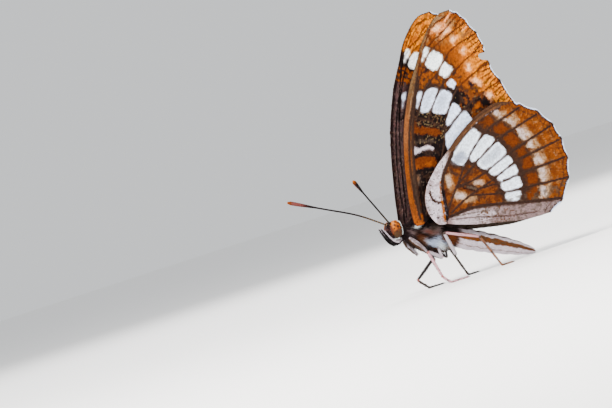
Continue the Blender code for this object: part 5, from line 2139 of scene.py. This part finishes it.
@dataclass(frozen=True)
class FloorFinish:
    """The plain pale floor: its linear colour, and how matte it is."""

    name: str = "floor_paper"
    colour: Point3 = (0.91, 0.905, 0.9)
    roughness: float = 0.75

    def material(self) -> Material:
        """Builds the material.

        Returns:
            The material.
        """
        sheet = NodeSheet(self.name)
        sheet.set(sheet.shader, {"Base Color": (*self.colour, 1.0), "Roughness": self.roughness})
        return sheet.material


@dataclass(frozen=True)
class Softbox:
    """An area light that looks at the model, in metres and watts."""

    name: str
    place: Point3
    size: float
    power: float
    colour: Point3

    def build(self, target: Point3) -> None:
        """Adds the light, turned to a target.

        Args:
            target: The place that it looks at, in metres.
        """
        lamp = bpy.data.lights.new(self.name, "AREA")
        lamp.shape = "DISK"
        lamp.size = self.size
        lamp.energy = self.power
        lamp.color = self.colour
        made = put(self.name, lamp)
        made.location = self.place
        away = Vector(target) - Vector(self.place)
        made.rotation_euler = away.to_track_quat("-Z", "Y").to_euler()


@dataclass
class Studio:
    """A pale floor, soft lights, a pale sky and the camera of the photo's view, in metres."""

    aim: Point3 = (-0.01828, 0.00772, 0.01726)
    look: Point3 = (0.5, 0.866, 0.0)
    right: Point3 = (0.8236, -0.4755, -0.309)
    distance: float = 0.736
    lens: float = 300.0
    sensor: float = 36.0
    clip: Point2 = (0.01, 20.0)
    floor_half: float = 4.0
    sky: Point3 = (0.86, 0.88, 0.9)
    lit: Point3 = (-0.002, 0.0, 0.015)
    lights: tuple[Softbox, ...] = (
        Softbox("key", (-0.28, -0.26, 0.42), 0.26, 10.0, (1.0, 0.97, 0.93)),
        Softbox("fill", (-0.5, 0.12, 0.2), 0.4, 2.4, (0.95, 0.97, 1.0)),
        Softbox("back", (0.3, 0.34, 0.36), 0.3, 3.5, (1.0, 0.98, 0.96)),
    )

    def floor(self) -> None:
        """Lays the plain floor."""
        half = self.floor_half
        mesh = bpy.data.meshes.new("floor")
        corners = [(-half, -half, 0), (half, -half, 0), (half, half, 0), (-half, half, 0)]
        mesh.from_pydata(corners, [], [(0, 1, 2, 3)])
        mesh.materials.append(FloorFinish().material())
        put("floor", mesh)

    def camera(self) -> None:
        """Sets up the camera, turned with the insect as the photo's is."""
        look, right = Vector(self.look).normalized(), Vector(self.right).normalized()
        data = bpy.data.cameras.new("camera")
        data.lens = self.lens
        data.sensor_width = self.sensor
        data.clip_start, data.clip_end = self.clip
        made = put("camera", data)
        turned = Matrix((right, right.cross(look), -look)).transposed().to_4x4()
        turned.translation = Vector(self.aim) - look * self.distance
        made.matrix_world = turned
        bpy.context.scene.camera = made

    def sky_light(self) -> None:
        """Fills the surroundings with even pale light."""
        world = bpy.data.worlds.new("sky")
        world.use_nodes = True
        world.node_tree.nodes["Background"].inputs["Color"].default_value = (*self.sky, 1.0)
        bpy.context.scene.world = world

    def build(self) -> None:
        """Builds the whole studio."""
        self.floor()
        for light in self.lights:
            light.build(self.lit)
        self.sky_light()
        self.camera()


FOREWING = WingShape(
    kind="forewing",
    costa=(
        (-2.05, 0.1), (-1.82, 2.1), (-1.38, 4.6), (-0.25, 9.1), (1.35, 13.7), (3.95, 18.65),
        (6.25, 21.8), (8.15, 24.5), (10.2, 26.45), (12, 27.6), (14.15, 27.8),
    ),
    outer=(
        (14.15, 27.8), (15.7, 26.65), (16.65, 25.05), (17.8, 22.7), (18.1, 20.7), (18.3, 18.3),
        (19.35, 15.5), (20.2, 13.3), (20.8, 11.35),
    ),
    inner=(
        (20.8, 11.35), (18.5, 9.6), (13, 6.4), (7, 3.05), (2.6, 0.95), (0.55, -0.05),
        (-0.6, -0.5), (-1.7, -0.5),
    ),
    root=(-0.7, -0.25),
    root_away=2.45,
    centre=(-1, 0),
    fan=(-6, -5),
    veins={
        "subcosta": ((-1, 0.3), (-0.75, 2.1), (-0.45, 4.6), (0.45, 8.6), (2.1, 13.2), (4.2, 17.3)),
        "radius": (
            (-0.45, 1.2), (0.25, 4.6), (1.45, 9.6), (3.35, 15), (5.88, 20.3), (8, 23.6),
            (10.5, 26.2), (13.2, 27.1),
        ),
        "radius_5": ((7.4, 22.7), (9.5, 24), (11.8, 25), (14.6, 26.5)),
        "media_1": ((3, 13.9), (5, 18), (7.2, 21.1), (9.7, 23.25), (15.8, 25.35)),
        "media_2": ((3.7, 14.2), (6.45, 17.8), (9.3, 19.8), (12.5, 22.2), (17.2, 23.4)),
        "media_3": ((5.6, 13.7), (8.7, 17.1), (12.3, 19.25), (17.3, 21.4)),
        "cubitus": ((0.2, 0.6), (2.9, 3.7), (5.25, 6.85), (6.85, 9.4), (7.7, 11.3)),
        "cubitus_1": ((7.75, 11.5), (8.6, 13.1), (11.35, 16.25), (14.5, 17.75), (17.8, 18.8)),
        "cubitus_2": ((7.5, 10.8), (10.25, 12.6), (12.65, 13.75), (16.5, 15.2), (19, 15.75)),
        "anal": ((0.8, 0.55), (7, 4), (13.5, 7.75), (19.8, 11.5)),
        "cell_end": ((3.2, 14.3), (5.55, 13.5), (7.6, 11.6)),
    },
    plane=2.12,
    scallop=0.18,
    notch=((18.12, 20.45), (17, 20.45), (16.8, 20), (17.05, 19.55), (18.22, 19.1)),
)

HINDWING = WingShape(
    kind="hindwing",
    costa=(
        (2.9, -1.5), (1.55, -1.3), (0.62, 0), (0.36, 1.4), (0.66, 3), (1.72, 4.65), (4.2, 6.8),
        (7.3, 8.8), (9.6, 10.25), (12.8, 11.85), (15.2, 12.65), (17.3, 12.9), (19.9, 12.25),
    ),
    outer=(
        (19.9, 12.25), (22, 11.05), (23.6, 9.8), (25.25, 7.5), (26, 4.6), (25.75, 1.2),
        (24.45, -1.7), (22.6, -3.7), (20.2, -4.7),
    ),
    inner=((20.2, -4.7), (16.4, -4.55), (11.5, -3.75), (7.4, -2.9), (4.9, -2.2), (3.7, -1.75)),
    root=(3.7, -1.35),
    root_away=2.35,
    centre=(3.3, -1),
    fan=(-3, -1.5),
    veins={
        "humeral": ((3.55, 1.5), (2.4, 1.75), (1.75, 2.4), (1.6, 3.5)),
        "subcosta_radius": (
            (3.4, -0.4), (3.6, 1.6), (3.95, 3.7), (5, 5.65), (8.8, 9), (13.7, 11.35), (17.5, 12.2)
        ),
        "radial_sector": (
            (3.75, 0.4), (5.8, 2.7), (6.8, 3.7), (8.7, 5.7), (11.8, 8.2), (15, 9.8), (20.5, 11.25)
        ),
        "media_1": ((6.4, 3.3), (8.9, 4.65), (12.5, 6.45), (16.3, 8), (23, 9.5)),
        "media_2": ((6.3, 3.1), (9.2, 3.25), (12.1, 3.95), (16.5, 5.35), (24.75, 7.3)),
        "cubitus": ((4.1, -0.2), (6.8, 0.95), (9.5, 1.7), (12.8, 2.55), (17.5, 3.95), (25.45, 5)),
        "cubitus_1": ((10, 1.8), (13.5, 1.75), (18, 2.05), (25.4, 2.3)),
        "cubitus_2": ((8, 1.3), (13, 0.25), (18, -0.15), (24.7, -0.6)),
        "anal_2": ((4.1, -0.6), (7.7, -0.4), (12, -1.05), (17, -2.1), (22.3, -3.05)),
        "anal_3": ((4.3, -1.2), (8.5, -2.1), (13, -3.2), (18, -3.95)),
    },
    plane=2.88,
    scallop=0.26,
)

PALP = (
    (-3.8, 0.42, -1.62, 0.22), (-4.65, 0.42, -1.92, 0.28), (-5.42, 0.38, -1.32, 0.25),
    (-6.02, 0.34, -0.18, 0.18), (-6.44, 0.31, 0.74, 0.07),
)
FORELEG = (
    (-2.72, 0.8, -1.75, 0.22), (-2.3, 1.15, -2.6, 0.3), (-1.6, 1.33, -3.6, 0.26),
    (-0.98, 1.33, -4.5, 0.14),
)
MID_HIP = ((1.25, 0.95, -4.3), (1.25, 1.3, -6))
MIDLEG_LEFT = (
    *MID_HIP, (-1.85, 3, -4.5), (-1.45, 4.2, -8.55), (-0.5, 4.45, -9.58), (2.3, 4.85, -9.63)
)
MIDLEG_RIGHT = (
    *MID_HIP, (3.2, 4.45, -5.8), (0.15, 5.45, -8.1), (1.75, 5.6, -9.58), (4.4, 5.75, -9.63)
)
HINDLEG = (
    (3.55, 0.9, -4.7), (3.6, 1.3, -6.2), (1.35, 3.6, -2.6), (6.3, 4.6, -4.75),
    (8.3, 4.85, -9.58), (10.2, 5, -9.63),
)
PALE_LEG = LegPaint((Dye.LILAC, Dye.INK), (Dye.PINK, Dye.UMBER), (Dye.PINK, Dye.MAUVE), Dye.ROSE)
# The right midleg stands in shadow, so it gets a darker copy of the pale leg's colours: painted
# shade.
SHADOWED_LEG = LegPaint((Dye.MAUVE, Dye.INK), (Dye.UMBER, Dye.PLUM), (Dye.ASH, Dye.UMBER), Dye.ROSE)
HIND_LEG = LegPaint((Dye.LILAC, Dye.INK), (Dye.PINK, Dye.RUST), (Dye.SALMON, Dye.UMBER), Dye.UMBER)


class Butterfly:
    """The whole insect."""

    def __init__(self) -> None:
        """Lists its sub-assemblies."""
        fore = forewing_underside, forewing_upperside
        hind = hindwing_underside, hindwing_upperside
        self.wings = [
            Wing(FOREWING, -1, *fore, 11, True), Wing(FOREWING, 1, *fore, 12, raised=(0.6, 0.8)),
            Wing(HINDWING, -1, *hind, 13), Wing(HINDWING, 1, *hind, 14),
        ]
        self.body = Body()
        self.legs = [
            Leg("midleg_left", -1, MIDLEG_LEFT, PALE_LEG, 31),
            # Painted shade: the right midleg takes the darker colours.
            Leg("midleg_right", 1, MIDLEG_RIGHT, SHADOWED_LEG, 32),
            Leg("hindleg_left", -1, HINDLEG, HIND_LEG, 33),
            Leg("hindleg_right", 1, HINDLEG, HIND_LEG, 34),
        ]
        self.limbs = []
        for side, shade in zip(SIDES, (0.75, 0.2)):
            palp = Limb("palp", side, PALP, Dye.INK, 0.24, 41 + side)
            leg = Limb("foreleg", side, FORELEG, Dye.BARK, 0.28, 51 + side, shade, 0.75)
            self.limbs += [palp, leg]

    def build(self) -> None:
        """Builds and dresses every piece."""
        skin = PaintedFinish("wing_membrane", 0.7, 0.1).material()
        scales = PaintedFinish("wing_scales", 0.6, 0.1, 0.35, 0.05, 0.004).material()
        hide = PaintedFinish("body_skin", 0.8, 0.18, 0.4).material()
        fur = PaintedFinish("fur", 0.6, 0.15, 0.4, 0.05, 0.003, 0.12).material()
        plates = PaintedFinish("abdomen_scales", 0.55, 0.15, 0.4, 0.05, 0.003).material()
        shell = PaintedFinish("leg_shell", 0.4, 0.18, 0.3, 0.06, 0.006, 0.35).material()
        glass = EyeFinish().material()
        for wing in self.wings:
            wing.build(skin, scales)
        self.body.build(hide, fur, plates)
        for leg in self.legs:
            leg.build(shell, fur)
        for limb in self.limbs:
            limb.build(hide, fur)
        for side in SIDES:
            Antenna(side).build(hide)
            Eye(side).build(glass, fur)


def main() -> None:
    """Builds the insect and its studio."""
    logging.basicConfig(level=logging.INFO, format="%(message)s")
    Butterfly().build()
    Studio().build()


if __name__ == "__main__":
    main()
